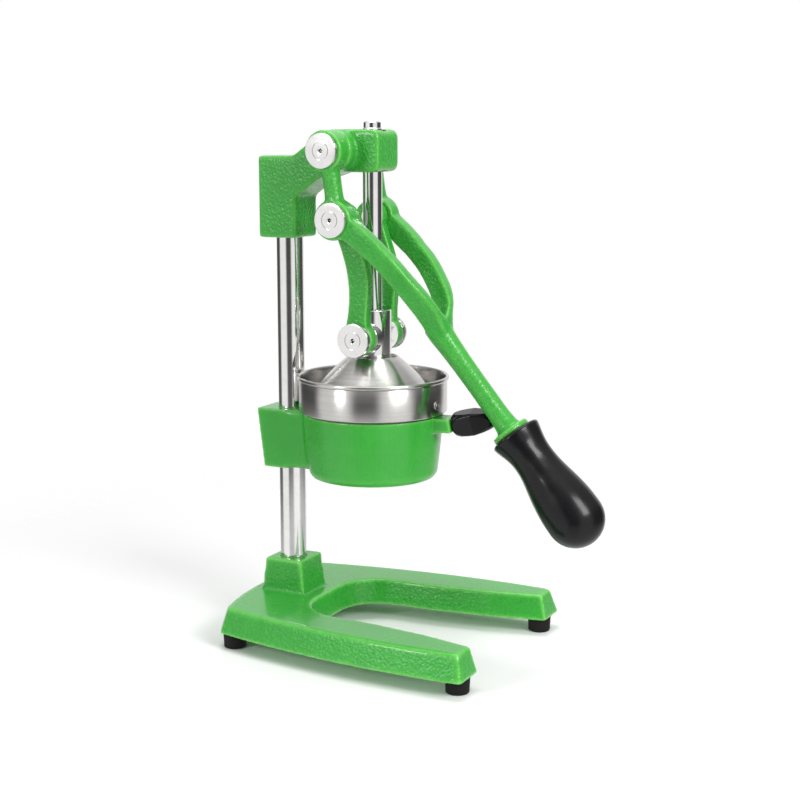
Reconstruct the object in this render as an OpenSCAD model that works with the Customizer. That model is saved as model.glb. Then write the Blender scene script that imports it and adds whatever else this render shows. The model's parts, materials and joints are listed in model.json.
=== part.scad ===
// Lever citrus press. A long cranked lever turns on the head and drives a pressing dome down,
// through two links, over a slotted strainer in a round cup. A glass stands in the base's opening.
// Lengths are in millimetres. The floor is z = 0 and the user stands in front, towards -y.
// The parts are drawn about the ram's axis, and at_ram() moves that axis so that y = 0 is halfway
// between the grip's foremost point and the back of the base.

/* [Base] */
// Height of the rubber feet
foot_h = 12.7; // [10:0.1:20]
// Radius of a foot
foot_r = 10.1; // [9:0.1:12]
// Thickness of the base plate
base_t = 22.1; // [21:0.1:30]
// Half of the top's greatest width
base_half_w = 99; // [95:0.5:110]
// How far behind the front edge the top is widest
base_widest_back = 49; // [40:1:60]
// Ram axis to the top's front edge
base_front = 125; // [118:1:135]
// Ram axis to the top's rear edge, at the middle
base_rear = 112.5; // [109:0.5:120]
// How much each side has drawn in at the rear
base_waist = 23.5; // [18:0.5:26]
// How far the rear edge bows out over the full width
rear_bow = 20; // [14:0.5:24]
// How much wider the sides stand at the bottom
side_flare = 6.5; // [3:0.5:8]
// How much longer each end stands at the bottom
end_flare = 5; // [2:0.5:6]
// Radius of the top's rounded edge
base_edge = 3; // [2:0.5:5]
// Cut across each outer corner
base_corner = 4; // [3:0.5:10]
// Half width of the opening at its back
gap_half_w = 57; // [50:0.5:60]
// How much wider each side of the opening is at the front
gap_splay = 17.3; // [10:0.5:20]
// Corner radius of the opening's back
gap_corner = 38; // [30:0.5:45]
// Ram axis to the centres of those corners
gap_corner_y = 7; // [0:0.5:10]
// How much narrower the opening is at the bottom, each side
gap_draft = 5; // [2:0.5:6]
// Front foot centres inwards from the base's widest
foot_front_in = 14.4; // [9:0.1:17]
// Front foot centres to the base's front edge
foot_front_back = 6.5; // [6:0.5:20]
// Rear foot centres inwards from the base's widest
foot_rear_in = 26.5; // [25:0.1:34]
// Rear foot centres to the base's rear edge
foot_rear_ahead = 18.5; // [17.5:0.5:32]

/* [Column] */
// Radius of the column
column_r = 11.5; // [10:0.1:12]
// Ram axis to the column's axis
column_y = 79; // [77:0.5:82]
// Height of the pedestal's top over the floor
pedestal_z = 64; // [60:0.5:75]
// Half width of the pedestal's top
pedestal_half_w = 18.5; // [16:0.1:20]
// Half depth of the pedestal's top
pedestal_half_d = 17.5; // [16:0.1:20]
// How much the pedestal widens to each side at its foot
pedestal_side_draft = 1.5; // [1:0.1:3]
// How much the pedestal deepens to front and rear at its foot
pedestal_end_draft = 4.5; // [2:0.1:6]
// Height of the column's lower end over the floor
column_seat_z = 30; // [28:0.5:32]
// Head's top to the column's upper end
column_top_down = 31.5; // [28:0.5:45]

/* [Head] */
// Half width of the head casting
head_half_w = 18.5; // [17.5:0.1:18.5]
// Top of the head over the floor
head_top_z = 430.5; // [429:0.5:432]
// Height of the head's nose
nose_h = 34.5; // [33.5:0.5:36.5]
// Head's top to its underside at the column
block_low_down = 89.5; // [85:0.5:100]
// Head's top to its lower top at the column
block_top_down = 21.5; // [17:0.5:22]
// Ram axis to the nose's front face
nose_front = 15; // [13:0.5:16]
// Ram axis to the head's rear face
head_rear = 98.7; // [96:0.5:102]
// Ram axis to the front face of the column block
block_front = 62.5; // [58:0.5:64]
// Corner radius of the nose, seen from the side
nose_corner = 6; // [3:0.5:8]
// Radius of the head's bosses for the lever
head_boss_r = 17; // [15:0.1:17]

/* [Linkage] */
// How far the lever's pivot lies behind the ram axis
pivot_back = 21.4; // [20:0.1:22]
// Head's top to the lever's pivot
pivot_down = 17; // [16:0.5:18]
// Lever pivot to link pin
crank = 55.3; // [55:0.1:57]
// Link pin to ram pin
link = 98.4; // [96:0.1:99]
// Radius of the lever's pivot shaft
pivot_r = 8; // [6:0.1:9]
// Radius of the link pins
link_pin_r = 7; // [5:0.1:8]
// Radius of the ram's cross pin
ram_pin_r = 5.5; // [4:0.1:5.5]
// Thickness of a link
link_t = 10; // [8:0.1:10]
// Radius of a link's upper eye
link_top_r = 13; // [12:0.1:13]
// Radius of a link's lower eye
link_low_r = 14; // [12:0.1:14]
// Line between a link's pins to its front edge, at the middle
link_belly = 17.6; // [12:0.1:18.5]
// Radius of the round caps on the pins
cap_r = 14; // [12:0.1:15]
// Thickness of a cap
cap_t = 3.5; // [3:0.1:4]
// Radius of the ring cut into a cap
cap_ring_r = 7; // [6:0.1:9]
// Width and depth of that ring
cap_ring_w = 0.6; // [0.4:0.1:1]
// Radius of the hole at a cap's centre
cap_hole_r = 1.8; // [1:0.1:2.5]
// Radius of the spigot that holds a cap
spigot_r = 3.5; // [3:0.1:4]
// Length of that spigot
spigot_len = 7; // [5:0.5:8]

/* [Lever] */
// Radius of the lever's eyes
eye_r = 16.5; // [16:0.1:17.5]
// Thickness of a lever eye
eye_t = 15.2; // [12:0.1:17]
// Width of the bar between the eyes, seen from the side
crank_w = 14; // [12:0.1:18]
// How far that bar stands in front of the line between the eyes
crank_ahead = 1.2; // [0:0.1:2]
// Bevel along the bar's edges
crank_bevel = 3.5; // [2:0.1:4]
// Slope of the lever below level, in degrees
lever_slope = 50.3; // [48:0.1:52]
// Link pin to where the two arms have become one bar
arms_len = 122; // [116:1:126]
// Height of the arms' arch over the lever's axis
arms_arch = 12.4; // [8:0.1:13]
// Depth of an arm at its slimmest
arms_depth = 17; // [15:0.1:20]
// Radius of the bar along its middle
bar_r = 8.9; // [8:0.1:10]
// Link pin to the collar's near face
collar_at = 215; // [205:1:220]
// Thickness of the collar
collar_t = 4.5; // [3:0.1:6]
// Radius of the collar
collar_r = 16; // [14:0.1:17]

/* [Grip] */
// Radius of the grip's round end
grip_r = 23.9; // [20:0.1:26]
// Radius of the grip's neck
grip_neck_r = 17.3; // [15:0.1:17.5]
// Link pin to the centre of the grip's round end
grip_end_at = 303; // [295:0.1:315]
// How far the grip's axis lies over the bar's axis
grip_rise = 1.6; // [0:0.1:2]
// Radius of the rod inside the grip
grip_rod_r = 5; // [4:0.1:6]
// Length of that rod
grip_rod_len = 104; // [80:1:110]
// How far the rod reaches back into the lever's bar
grip_rod_in = 26; // [15:1:35]

/* [Ram] */
// Radius of the ram rod
ram_r = 8; // [7.5:0.1:8.2]
// How far the ram rod stands out over the head
ram_top_up = 6; // [4:0.5:10]
// Radius of the ram's head
ram_head_r = 15.4; // [15:0.1:16.5]
// Top of the ram's head over the ram pin
ram_head_up = 22.7; // [18:0.1:24]
// Bottom of the ram's head under the ram pin
ram_head_down = 16.3; // [15:0.1:18]
// Radius of the cross boss that carries the links
cross_r = 14; // [12:0.1:14]
// Half length of the cross boss
cross_half = 18.7; // [17.5:0.1:18.7]
// Radius of the pressing dome's edge
dome_r = 50.5; // [48:0.1:52]
// Radius of the dome's flat top
dome_flat_r = 20.5; // [18:0.1:22]
// Wall of the dome
dome_t = 2; // [1.5:0.1:3]
// Height of the dome's edge over the cup's seat
dome_edge_up = 9.2; // [4:0.1:10]

/* [Cup and holder] */
// Head's top to the holder's rim, where the cup rests
seat_down = 232.7; // [231.5:0.1:235]
// Height of the cup's rim over that seat
cup_h = 31.3; // [25:0.1:34]
// Outer radius of the cup's wall
cup_r = 62; // [60.5:0.1:64]
// How far the cup's lip stands out
cup_lip = 1.7; // [1:0.1:3]
// Height of that lip
cup_lip_h = 3.2; // [2:0.1:5]
// Wall of the cup
cup_t = 1.5; // [1:0.1:2]
// Rounding under the cup's wall
cup_foot_r = 3; // [2:0.1:4]
// Radius of the hole in the cup's floor
cup_hole_r = 41; // [38:0.5:42]
// Outer radius of the ring that centres the cup in the holder
cup_ring_r = 53.7; // [50:0.1:54]
// Depth of that ring
cup_ring_h = 8; // [5:0.1:10]
// Radius of the strainer's dome
strainer_r = 44; // [42:0.1:45]
// Centre of the strainer's dome under the cup's seat
strainer_drop = 6; // [4:0.1:10]
// Outer radius of the strainer's flat flange
strainer_rim_r = 54; // [50:0.1:56]
// Wall of the strainer
strainer_t = 1.2; // [1:0.1:1.5]
// Number of slots in the strainer
slots = 16; // [8:1:20]
// Width of a slot
slot_w = 2.4; // [1.5:0.1:3]
// Outer radius of the holder's rim
holder_r = 58.5; // [57:0.1:60]
// How much smaller the holder's radius is at its bottom
holder_taper = 6.5; // [4:0.1:9]
// Height of the holder's bowl
holder_h = 53.8; // [45:0.1:60]
// Wall of the holder
holder_t = 4.5; // [3.5:0.1:4.5]
// Radius of the juice outlet in the holder's floor
outlet_r = 16; // [10:0.5:20]
// Half width of the holder's column block
holder_half_w = 19.5; // [18:0.1:21]
// Ram axis to the rear face of that block, at its top
holder_rear = 102.4; // [98:0.1:105]
// How much that rear face slopes in towards its bottom
holder_rear_draft = 6.5; // [3:0.1:7]
// Direction of the knob, degrees from straight forward
knob_turn = 6; // [3:1:12]
// How far the knob tilts up, in degrees
knob_tilt = 11; // [8:0.5:12]
// Holder's rim to the centre of the knob's near end
knob_down = 6.2; // [6:0.1:6.6]
// Half width of the lug that carries the knob
lug_half_w = 11.8; // [8:0.1:12]
// Height of that lug
lug_h = 11.6; // [11.4:0.1:13]
// Holder's rim to the lug's top
lug_top_down = 0.6; // [0.5:0.1:1]
// Radius of the stub inside the knob
stub_r = 4.6; // [4:0.1:4.8]
// Ram axis to the knob's near end
knob_at = 71.5; // [69:0.5:72]
// Length of the knob
knob_len = 36; // [34:0.5:38]
// Greatest radius of the knob, over its rounded corners
knob_r = 12.2; // [11:0.1:12.4]
// Knob's axis to each of its four flats
knob_flat = 9.5; // [9:0.1:10]
// The same at the knob's tip
knob_tip_flat = 6.2; // [5:0.1:8]
// How far the flats are turned about the knob's axis, in degrees
knob_roll = 10; // [0:1:20]

/* [Hidden] */

$fn = 96;

// Clearances
fit = 0.05;          // between a bore and the shaft that fills it
running = 0.3;       // between flat faces that turn past each other
over = 1;            // how far a cut runs past the face it opens

// Sides: the user's left is -x
left = -1;
right = 1;

// Heights over the floor that follow the head's top
column_top_z = head_top_z - column_top_down;
nose_low_z = head_top_z - nose_h;
block_low_z = head_top_z - block_low_down;
block_top_z = head_top_z - block_top_down;
pivot_z = head_top_z - pivot_down;
ram_top_z = head_top_z + ram_top_up;
seat_z = head_top_z - seat_down;

// Foot centres: to the centre line and to the ram's axis
foot_front_x = base_half_w - foot_front_in;
foot_rear_x = base_half_w - foot_rear_in;
foot_front_y = base_front - foot_front_back;
foot_rear_y = base_rear - foot_rear_ahead;

// Linkage at rest: lever pivot, link pin and ram pin lie on one line
crank_lean = asin(pivot_back/(crank + link));
link_pin_y = pivot_back - crank*sin(crank_lean);
link_pin_z = pivot_z - crank*cos(crank_lean);
ram_pin_z = pivot_z - sqrt(pow(crank + link, 2) - pow(pivot_back, 2));

// Across the machine, from the centre line outwards
link_in = cross_half + running;
link_out = link_in + link_t;
eye_in = link_out + running;
washer_in = link_out + running;
eye_out = eye_in + eye_t;
pivot_cap_in = eye_out + running;
washer_t = 2.8;

// Whole machine
base_top_z = foot_h + base_t;
reach_front = grip_end_at*cos(lever_slope) + grip_rise*sin(lever_slope) + grip_r - link_pin_y;
reach_rear = base_rear + end_flare;
ram_y = (reach_front - reach_rear)/2;

// Outline of the base's top
widest_y = base_widest_back - base_front;
side_steps = 9;
rear_steps = 4;
corner_steps = 3;
layer_steps = 4;
layer_t = 0.01;

// Screws: radius and length of the shank, radius and height of the head
foot_screw_r = 2.5;
foot_screw_len = 14;
foot_screw_head_r = 4.6;
foot_screw_head_h = 3;
foot_recess = 7;
foot_bevel = 1;
set_screw_r = 4;
set_screw_socket_r = 2.3;
set_screw_socket_d = 3;
bolt_r = 5;
bolt_len = 32;
bolt_head_r = 9;
bolt_head_h = 6.4;
bolt_washer_r = 12.5;
bolt_washer_t = 2;
bolt_recess_r = 14;
bolt_recess_d = 10;
dome_screw_r = 3;
dome_screw_head_r = 6;
dome_screw_head_h = 2.5;
dome_screw_up = 8;

// Bushes in the nose
bush_r = 11;
bush_len = 12;
bush_sink = 0.6;
nose_bore_r = ram_r + 1;

// Ram rod: its lower end over the ram head's bottom
ram_rod_up = 5;

// Arms of the lever, from the link pin (0) to the bar (1)
arm_station_shares = [0, 0.16, 0.28, 0.37, 0.49, 0.61, 0.74, 0.84, 0.91, 1];
arm_lift_shares = [0, 0.53, 0.75, 0.89, 1, 0.98, 0.90, 0.66, 0.36, 0];
arm_depth_shares = [1.3, 1.12, 1.09, 1, 1.01, 1, 1.06, 1.13, 1.11, 1];
// Outside of the two arms as shares of the eyes' outer half width, inside as shares of the inner one
arm_outside_shares = [0.985, 0.975, 0.945, 0.91, 0.87, 0.79, 0.65, 0.46, 0.31, 0.20];
arm_inside_shares = [1.02, 1.02, 0.98, 0.93, 0.87, 0.74, 0.55, 0.34, 0];
arm_reach = 30;
bar_from = 0.9*arms_len;

// Bar from the arms to the collar: place along it and radius
bar_station_shares = [0, 0.12, 0.22, 0.38, 0.55, 0.88, 0.96, 1];
bar_radius_shares = [1.22, 1.17, 1.09, 1.02, 1, 1, 1.07, 1.22];

// Grip profile from its lip to its neck and belly: place along it and radius
grip_at = collar_at + collar_t;
grip_station_shares = [0, 0.02, 0.09, 0.18, 0.28, 0.42, 0.55, 0.68, 0.84];
grip_radius_shares = [1.04, 1.22, 1.17, 1.06, 1.00, 1.03, 1.13, 1.25, 1.36];

// Holder and cup
holder_floor_z = seat_z - holder_h;
holder_round = 6;
holder_mouth_r = holder_r - holder_t;
holder_funnel = 6;
strainer_floor_r = sqrt(pow(strainer_r, 2) - pow(strainer_drop + cup_t, 2));
rivet_r = 3.6;
rivet_in_r = 2.2;
rivet_t = 0.8;
rivet_up = 10.8;
rivet_turn = -5;
stub_grip = 20;
stub_root = 3;

// Everything is drawn about the ram's axis and moved here as one
module at_ram() {
    translate([0, ram_y, 0]) children();
}

// A cylinder along x from one distance off the centre line to another, on one side
module across(side, from, to, r) {
    translate([side*from, 0, 0])
        rotate([0, side*90, 0])
            cylinder(h = to - from, r = r);
}

// A cylinder along x right through, as far out on both sides
module through(half, r) {
    translate([-half, 0, 0])
        rotate([0, 90, 0])
            cylinder(h = 2*half, r = r);
}

// An outline in y and z, drawn out along x as far on both sides
module slab(half) {
    rotate([90, 0, 90])
        translate([0, 0, -half])
            linear_extrude(2*half)
                children();
}

// A row of points made smooth: a few straight steps from each point to the next, along a cubic curve
flow_steps = 3;
function flow(a, b, c, d, t) =
    b + (c - a)*t/2 + (a - b*5/2 + c*2 - d/2)*pow(t, 2) + (b*3 - a - c*3 + d)*pow(t, 3)/2;
function flowing(row) = concat(
    [for (i = [0:len(row) - 2]) for (k = [0:flow_steps - 1])
        flow(row[max(i - 1, 0)], row[i], row[i + 1], row[min(i + 2, len(row) - 1)], k/flow_steps)],
    [row[len(row) - 1]]);

// Points of an arc
function arc(cx, cy, r, from, to, steps) =
    [for (i = [0:steps]) [cx + r*cos(from + (to - from)*i/steps), cy + r*sin(from + (to - from)*i/steps)]];

// Base: half width of the top at a distance behind the ram axis, and its rear edge
function side_x(y) = base_half_w - base_waist*pow((y - widest_y)/(base_rear - widest_y), 2);
function rear_y(x) = base_rear - rear_bow*pow(x/base_half_w, 2);

side_end_y = rear_y(side_x(base_rear)) - base_corner;
rear_end_x = side_x(base_rear) - base_corner;

// Right half of the top's outline, from the front to the back
base_right = concat(
    [for (i = [0:corner_steps])
        [side_x(-base_front) - base_corner*(1 - sin(90*i/corner_steps)),
         -base_front + base_corner*(1 - cos(90*i/corner_steps))]],
    [for (i = [1:side_steps])
        let (y = -base_front + base_corner + (side_end_y + base_front - base_corner)*i/side_steps)
            [side_x(y), y]],
    [for (i = [0:rear_steps])
        let (x = rear_end_x*(1 - i/rear_steps)) [x, rear_y(x)]]);

// The whole outline, grown by one length at the sides and by another at the ends
function base_outline(side, end) =
    let (kx = 1 + side/base_half_w, ky = 1 + 2*end/(base_front + base_rear), mid = (base_rear - base_front)/2)
        concat(
            [for (p = base_right) [p[0]*kx, mid + (p[1] - mid)*ky]],
            [for (i = [len(base_right) - 1:-1:0]) [-base_right[i][0]*kx, mid + (base_right[i][1] - mid)*ky]]);

module base_layer(z, side, end) {
    translate([0, 0, z])
        linear_extrude(layer_t)
            polygon(base_outline(side, end));
}

module base_plate() {
    hull() {
        base_layer(foot_h, side_flare, end_flare);
        for (i = [0:layer_steps])
            let (a = 90*i/layer_steps)
                base_layer(base_top_z - layer_t - base_edge*(1 - sin(a)),
                    -base_edge*(1 - cos(a)), -base_edge*(1 - cos(a)));
    }
}

// Opening for the glass: half width at a distance behind the ram axis
function gap_x(y) = gap_half_w + gap_splay*pow((gap_corner_y - y)/(gap_corner_y + base_front), 2);

// One stretch of the opening, wide at the top and narrower at the bottom
module gap_cut(outline_top, outline_low) {
    hull() {
        translate([0, 0, base_top_z])
            linear_extrude(over)
                polygon(outline_top);
        translate([0, 0, foot_h - over])
            linear_extrude(over)
                polygon(outline_low);
    }
}

function mirrored(points) =
    concat(points, [for (i = [len(points) - 1:-1:0]) [-points[i][0], points[i][1]]]);

function gap_stretch(from, to, inset) =
    mirrored([for (y = [from, (from + to)/2, to]) [gap_x(y) - inset, y]]);

function gap_back(inset) =
    mirrored(concat([[gap_x(gap_corner_y - gap_corner) - inset, gap_corner_y - gap_corner]],
        arc(gap_half_w - gap_corner, gap_corner_y, gap_corner - inset, 0, 90, 6)));

module gap() {
    middle = gap_corner_y - gap_corner;
    front = -base_front - end_flare - over;
    gap_cut(gap_back(0), gap_back(gap_draft));
    gap_cut(gap_stretch(middle, (middle + front)/2, 0), gap_stretch(middle, (middle + front)/2, gap_draft));
    gap_cut(gap_stretch((middle + front)/2, front, 0), gap_stretch((middle + front)/2, front, gap_draft));
}

// Foot of the column: a block that widens downwards, cut from two drawn outlines
module pedestal() {
    low_z = foot_h + base_t/2;
    intersection() {
        slab(base_half_w)
            polygon([[column_y - pedestal_half_d - pedestal_end_draft, low_z],
                [column_y + pedestal_half_d + pedestal_end_draft, low_z],
                [column_y + pedestal_half_d, pedestal_z],
                [column_y - pedestal_half_d, pedestal_z]]);
        translate([0, base_rear, 0])
            rotate([90, 0, 0])
                linear_extrude(base_rear)
                    polygon([[-pedestal_half_w - pedestal_side_draft, low_z],
                        [pedestal_half_w + pedestal_side_draft, low_z],
                        [pedestal_half_w, pedestal_z],
                        [-pedestal_half_w, pedestal_z]]);
    }
}

// Places of the feet: side, distance off the centre line, distance behind the ram axis
foot_places = [[left, foot_front_x, -foot_front_y], [right, foot_front_x, -foot_front_y],
    [left, foot_rear_x, foot_rear_y], [right, foot_rear_x, foot_rear_y]];

module at_foot(i) {
    translate([foot_places[i][0]*foot_places[i][1], foot_places[i][2], 0])
        children();
}

module base() {
    color([0.28, 0.70, 0.24])
        at_ram()
            difference() {
                union() {
                    difference() {
                        base_plate();
                        gap();
                    }
                    pedestal();
                }
                translate([0, column_y, column_seat_z])
                    cylinder(h = pedestal_z - column_seat_z + over, r = column_r + fit);
                translate([0, column_y, foot_h - over])
                    cylinder(h = bolt_recess_d + over, r = bolt_recess_r);
                translate([0, column_y, foot_h])
                    cylinder(h = column_seat_z - foot_h + over, r = bolt_r + fit);
                for (i = [0:3])
                    at_foot(i)
                        translate([0, 0, foot_h - over])
                            cylinder(h = foot_screw_len - (foot_h - foot_recess) + 2*over, r = foot_screw_r + fit);
            }
}

module foot(i) {
    color([0.06, 0.06, 0.06])
        at_ram()
            at_foot(i)
                difference() {
                    union() {
                        cylinder(h = foot_bevel, r1 = foot_r - foot_bevel, r2 = foot_r);
                        translate([0, 0, foot_bevel])
                            cylinder(h = foot_h - foot_bevel, r = foot_r);
                    }
                    translate([0, 0, -over])
                        cylinder(h = foot_recess + over, r = foot_screw_head_r + running);
                    cylinder(h = foot_h + over, r = foot_screw_r + fit);
                }
}

module foot_front_left() { foot(0); }
module foot_front_right() { foot(1); }
module foot_rear_left() { foot(2); }
module foot_rear_right() { foot(3); }

module foot_screws() {
    color([0.7, 0.7, 0.72])
        at_ram()
            for (i = [0:3])
                at_foot(i)
                    translate([0, 0, foot_recess - foot_screw_head_h])
                        union() {
                            cylinder(h = foot_screw_head_h, r = foot_screw_head_r);
                            cylinder(h = foot_screw_head_h + foot_screw_len, r = foot_screw_r);
                        }
}

module column() {
    color([0.8, 0.8, 0.82])
        at_ram()
            translate([0, column_y, column_seat_z])
                difference() {
                    cylinder(h = column_top_z - column_seat_z, r = column_r);
                    translate([0, 0, -over])
                        cylinder(h = bolt_len + over, r = bolt_r + fit);
                }
}

// Underside of the bolt's washer, inside the recess
bolt_seat_z = foot_h + bolt_recess_d - bolt_washer_t;

module column_bolt() {
    color([0.6, 0.6, 0.62])
        at_ram()
            translate([0, column_y, bolt_seat_z - bolt_head_h])
                union() {
                    cylinder(h = bolt_head_h, r = bolt_head_r, $fn = 6);
                    cylinder(h = bolt_head_h + bolt_len, r = bolt_r);
                }
}

module column_washer() {
    color([0.7, 0.7, 0.72])
        at_ram()
            translate([0, column_y, bolt_seat_z])
                difference() {
                    cylinder(h = bolt_washer_t, r = bolt_washer_r);
                    translate([0, 0, -over])
                        cylinder(h = bolt_washer_t + 2*over, r = bolt_r + fit);
                }
}

// Side view of the head: the top rises to the nose in a quarter wave, the underside in two slopes
head_rise_from = block_front + nose_corner/2;
head_rise_to = pivot_back - nose_corner/2;
head_side = concat(
    [[head_rear, block_low_z], [head_rear, block_top_z]],
    [for (i = [0:6])
        [head_rise_from + (head_rise_to - head_rise_from)*i/6, block_top_z + (head_top_z - block_top_z)*sin(15*i)]],
    arc(nose_corner - nose_front, head_top_z - nose_corner, nose_corner, 90, 180, 4),
    arc(nose_corner - nose_front, nose_low_z + nose_corner, nose_corner, 180, 270, 4),
    [[pivot_back + nose_corner/2, nose_low_z], [(pivot_back + block_front)/2, nose_low_z - nose_corner],
        [block_front, block_low_z + head_top_z - nose_low_z], [block_front, block_low_z]]);

module head() {
    color([0.28, 0.70, 0.24])
        at_ram()
            difference() {
                union() {
                    slab(head_half_w)
                        polygon(head_side);
                    translate([0, pivot_back, pivot_z])
                        through(link_out, head_boss_r);
                }
                translate([0, pivot_back, pivot_z])
                    through(link_out + over, pivot_r + fit);
                translate([0, column_y, block_low_z - over])
                    cylinder(h = column_top_z - block_low_z + over, r = column_r + fit);
                translate([0, 0, nose_low_z - over])
                    cylinder(h = head_top_z - nose_low_z + 2*over, r = nose_bore_r);
                translate([0, 0, nose_low_z - over])
                    cylinder(h = bush_len + bush_sink + over, r = bush_r + fit);
                translate([0, 0, head_top_z - bush_len - bush_sink])
                    cylinder(h = bush_len + bush_sink + over, r = bush_r + fit);
                at_head_screws()
                    set_screw_hole(head_rear);
            }
}

// Set screws run forward from a rear face to the column
module at_head_screws() {
    for (share = [0.25, 0.72])
        translate([0, 0, block_low_z + (block_top_z - block_low_z)*share])
            children();
}

module set_screw_hole(rear) {
    translate([0, column_y, 0])
        rotate([-90, 0, 0])
            cylinder(h = rear - column_y + over, r = set_screw_r + fit);
}

module set_screw(rear) {
    translate([0, column_y + column_r, 0])
        rotate([-90, 0, 0])
            difference() {
                cylinder(h = rear - column_y - column_r - over, r = set_screw_r);
                translate([0, 0, rear - column_y - column_r - over - set_screw_socket_d])
                    cylinder(h = set_screw_socket_d + over, r = set_screw_socket_r, $fn = 6);
            }
}

module head_set_screws() {
    color([0.25, 0.25, 0.27])
        at_ram()
            at_head_screws()
                set_screw(head_rear);
}

module ram_bush(z) {
    color([0.72, 0.55, 0.28])
        at_ram()
            translate([0, 0, z])
                difference() {
                    cylinder(h = bush_len, r = bush_r);
                    translate([0, 0, -over])
                        cylinder(h = bush_len + 2*over, r = ram_r + fit);
                }
}

module ram_bush_upper() { ram_bush(head_top_z - bush_len - bush_sink); }
module ram_bush_lower() { ram_bush(nose_low_z + bush_sink); }

// Round cap with a ring and a centre hole cut in its face, and a spigot on its back
module cap(side, from) {
    color([0.82, 0.82, 0.84])
        difference() {
            union() {
                across(side, from, from + cap_t, cap_r);
                across(side, from - spigot_len, from, spigot_r);
            }
            difference() {
                across(side, from + cap_t - cap_ring_w, from + cap_t + over, cap_ring_r);
                across(side, from, from + cap_t + 2*over, cap_ring_r - cap_ring_w);
            }
            across(side, from + cap_t/2, from + cap_t + over, cap_hole_r);
        }
}

module spigot_bore(side, face) {
    across(side, face - spigot_len - over, face + over, spigot_r + fit);
}

module pivot_shaft() {
    color([0.7, 0.7, 0.72])
        at_ram()
            translate([0, pivot_back, pivot_z])
                difference() {
                    through(pivot_cap_in, pivot_r);
                    spigot_bore(left, pivot_cap_in);
                    spigot_bore(right, pivot_cap_in);
                }
}

module pivot_cap(side) {
    at_ram()
        translate([0, pivot_back, pivot_z])
            cap(side, pivot_cap_in);
}

module pivot_cap_left() { pivot_cap(left); }
module pivot_cap_right() { pivot_cap(right); }

// Outside of the holder's bowl, from its floor to its rim
holder_outside = concat(
    [[0, holder_floor_z], [holder_r - holder_taper, holder_floor_z]],
    arc(holder_r - holder_taper - holder_round*0.6, holder_floor_z + holder_round, holder_round, -60, -10, 3),
    [[holder_r - holder_taper/5, seat_z - holder_h*0.42], [holder_r, seat_z], [0, seat_z]]);

// Inside of the bowl: it narrows with the wall and its floor falls to the outlet
holder_inside = [[0, holder_floor_z + holder_t], [outlet_r, holder_floor_z + holder_t],
    [holder_r - holder_taper - holder_t - holder_round, holder_floor_z + holder_t + holder_funnel],
    [holder_r - holder_taper - holder_t, holder_floor_z + holder_t + 2*holder_funnel],
    [holder_mouth_r, seat_z - cup_ring_h - holder_funnel], [holder_mouth_r, seat_z + over], [0, seat_z + over]];

module at_knob() {
    translate([0, 0, seat_z - knob_down])
        rotate([0, 0, knob_turn])
            translate([0, -knob_at, 0])
                rotate([90 - knob_tilt, 0, 0])
                    children();
}

// Level lug that carries the knob, cut square to the knob's axis
module knob_lug() {
    difference() {
        translate([0, 0, seat_z - lug_top_down - lug_h])
            rotate([0, 0, knob_turn])
                translate([-lug_half_w, -knob_at - lug_h/2, 0])
                    cube([2*lug_half_w, knob_at + lug_h/2 - holder_mouth_r + holder_t, lug_h]);
        at_knob()
            translate([-2*lug_half_w, -2*lug_h, 0])
                cube([4*lug_half_w, 4*lug_h, knob_len]);
    }
}

module holder() {
    color([0.28, 0.70, 0.24])
        at_ram()
            difference() {
                union() {
                    rotate_extrude()
                        polygon(holder_outside);
                    slab(holder_half_w)
                        polygon([[holder_mouth_r - holder_taper, holder_floor_z + over],
                            [holder_rear - holder_rear_draft, holder_floor_z + over],
                            [holder_rear, seat_z - 2*over],
                            [holder_mouth_r - holder_taper, seat_z - 2*over]]);
                    knob_lug();
                    at_knob()
                        translate([0, 0, -stub_root])
                            cylinder(h = stub_root + stub_grip, r = stub_r);
                }
                rotate_extrude()
                    polygon(holder_inside);
                translate([0, 0, holder_floor_z - over])
                    cylinder(h = holder_t + 2*over, r = outlet_r);
                translate([0, column_y, holder_floor_z])
                    cylinder(h = holder_h + over, r = column_r + fit);
                translate([0, 0, seat_z - holder_h/2])
                    set_screw_hole(holder_rear);
            }
}

module holder_set_screw() {
    color([0.25, 0.25, 0.27])
        at_ram()
            translate([0, 0, seat_z - holder_h/2])
                set_screw(holder_rear - holder_rear_draft/2);
}

// Knob: a turned body with four flats, which close in from its thickest place to its tip
knob_station_shares = [0, 0.06, 0.18, 0.36, 0.52, 0.7, 0.86, 0.96, 1];
knob_radius_shares = [0.62, 0.80, 0.93, 0.99, 1, 0.88, 0.68, 0.48, 0.3];
knob_bend = knob_len*0.5;
knob_flat_sides = [[-knob_flat, 0], [knob_flat, 0], [knob_flat, knob_bend], [knob_tip_flat, knob_len + over],
    [-knob_tip_flat, knob_len + over], [-knob_flat, knob_bend]];

module knob_flats() {
    rotate([90, 0, 0])
        linear_extrude(height = 3*knob_r, center = true)
            polygon(knob_flat_sides);
}

module holder_knob() {
    color([0.06, 0.06, 0.06])
        at_ram()
            at_knob()
                difference() {
                    intersection() {
                        rotate_extrude()
                            polygon(concat([[0, 0]],
                                [for (i = [0:len(knob_station_shares) - 1])
                                    [knob_r*knob_radius_shares[i], knob_len*knob_station_shares[i]]],
                                [[0, knob_len]]));
                        rotate([0, 0, knob_roll])
                            knob_flats();
                        rotate([0, 0, knob_roll + 90])
                            knob_flats();
                    }
                    translate([0, 0, -over])
                        cylinder(h = stub_grip + over, r = stub_r + fit);
                }
}

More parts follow.
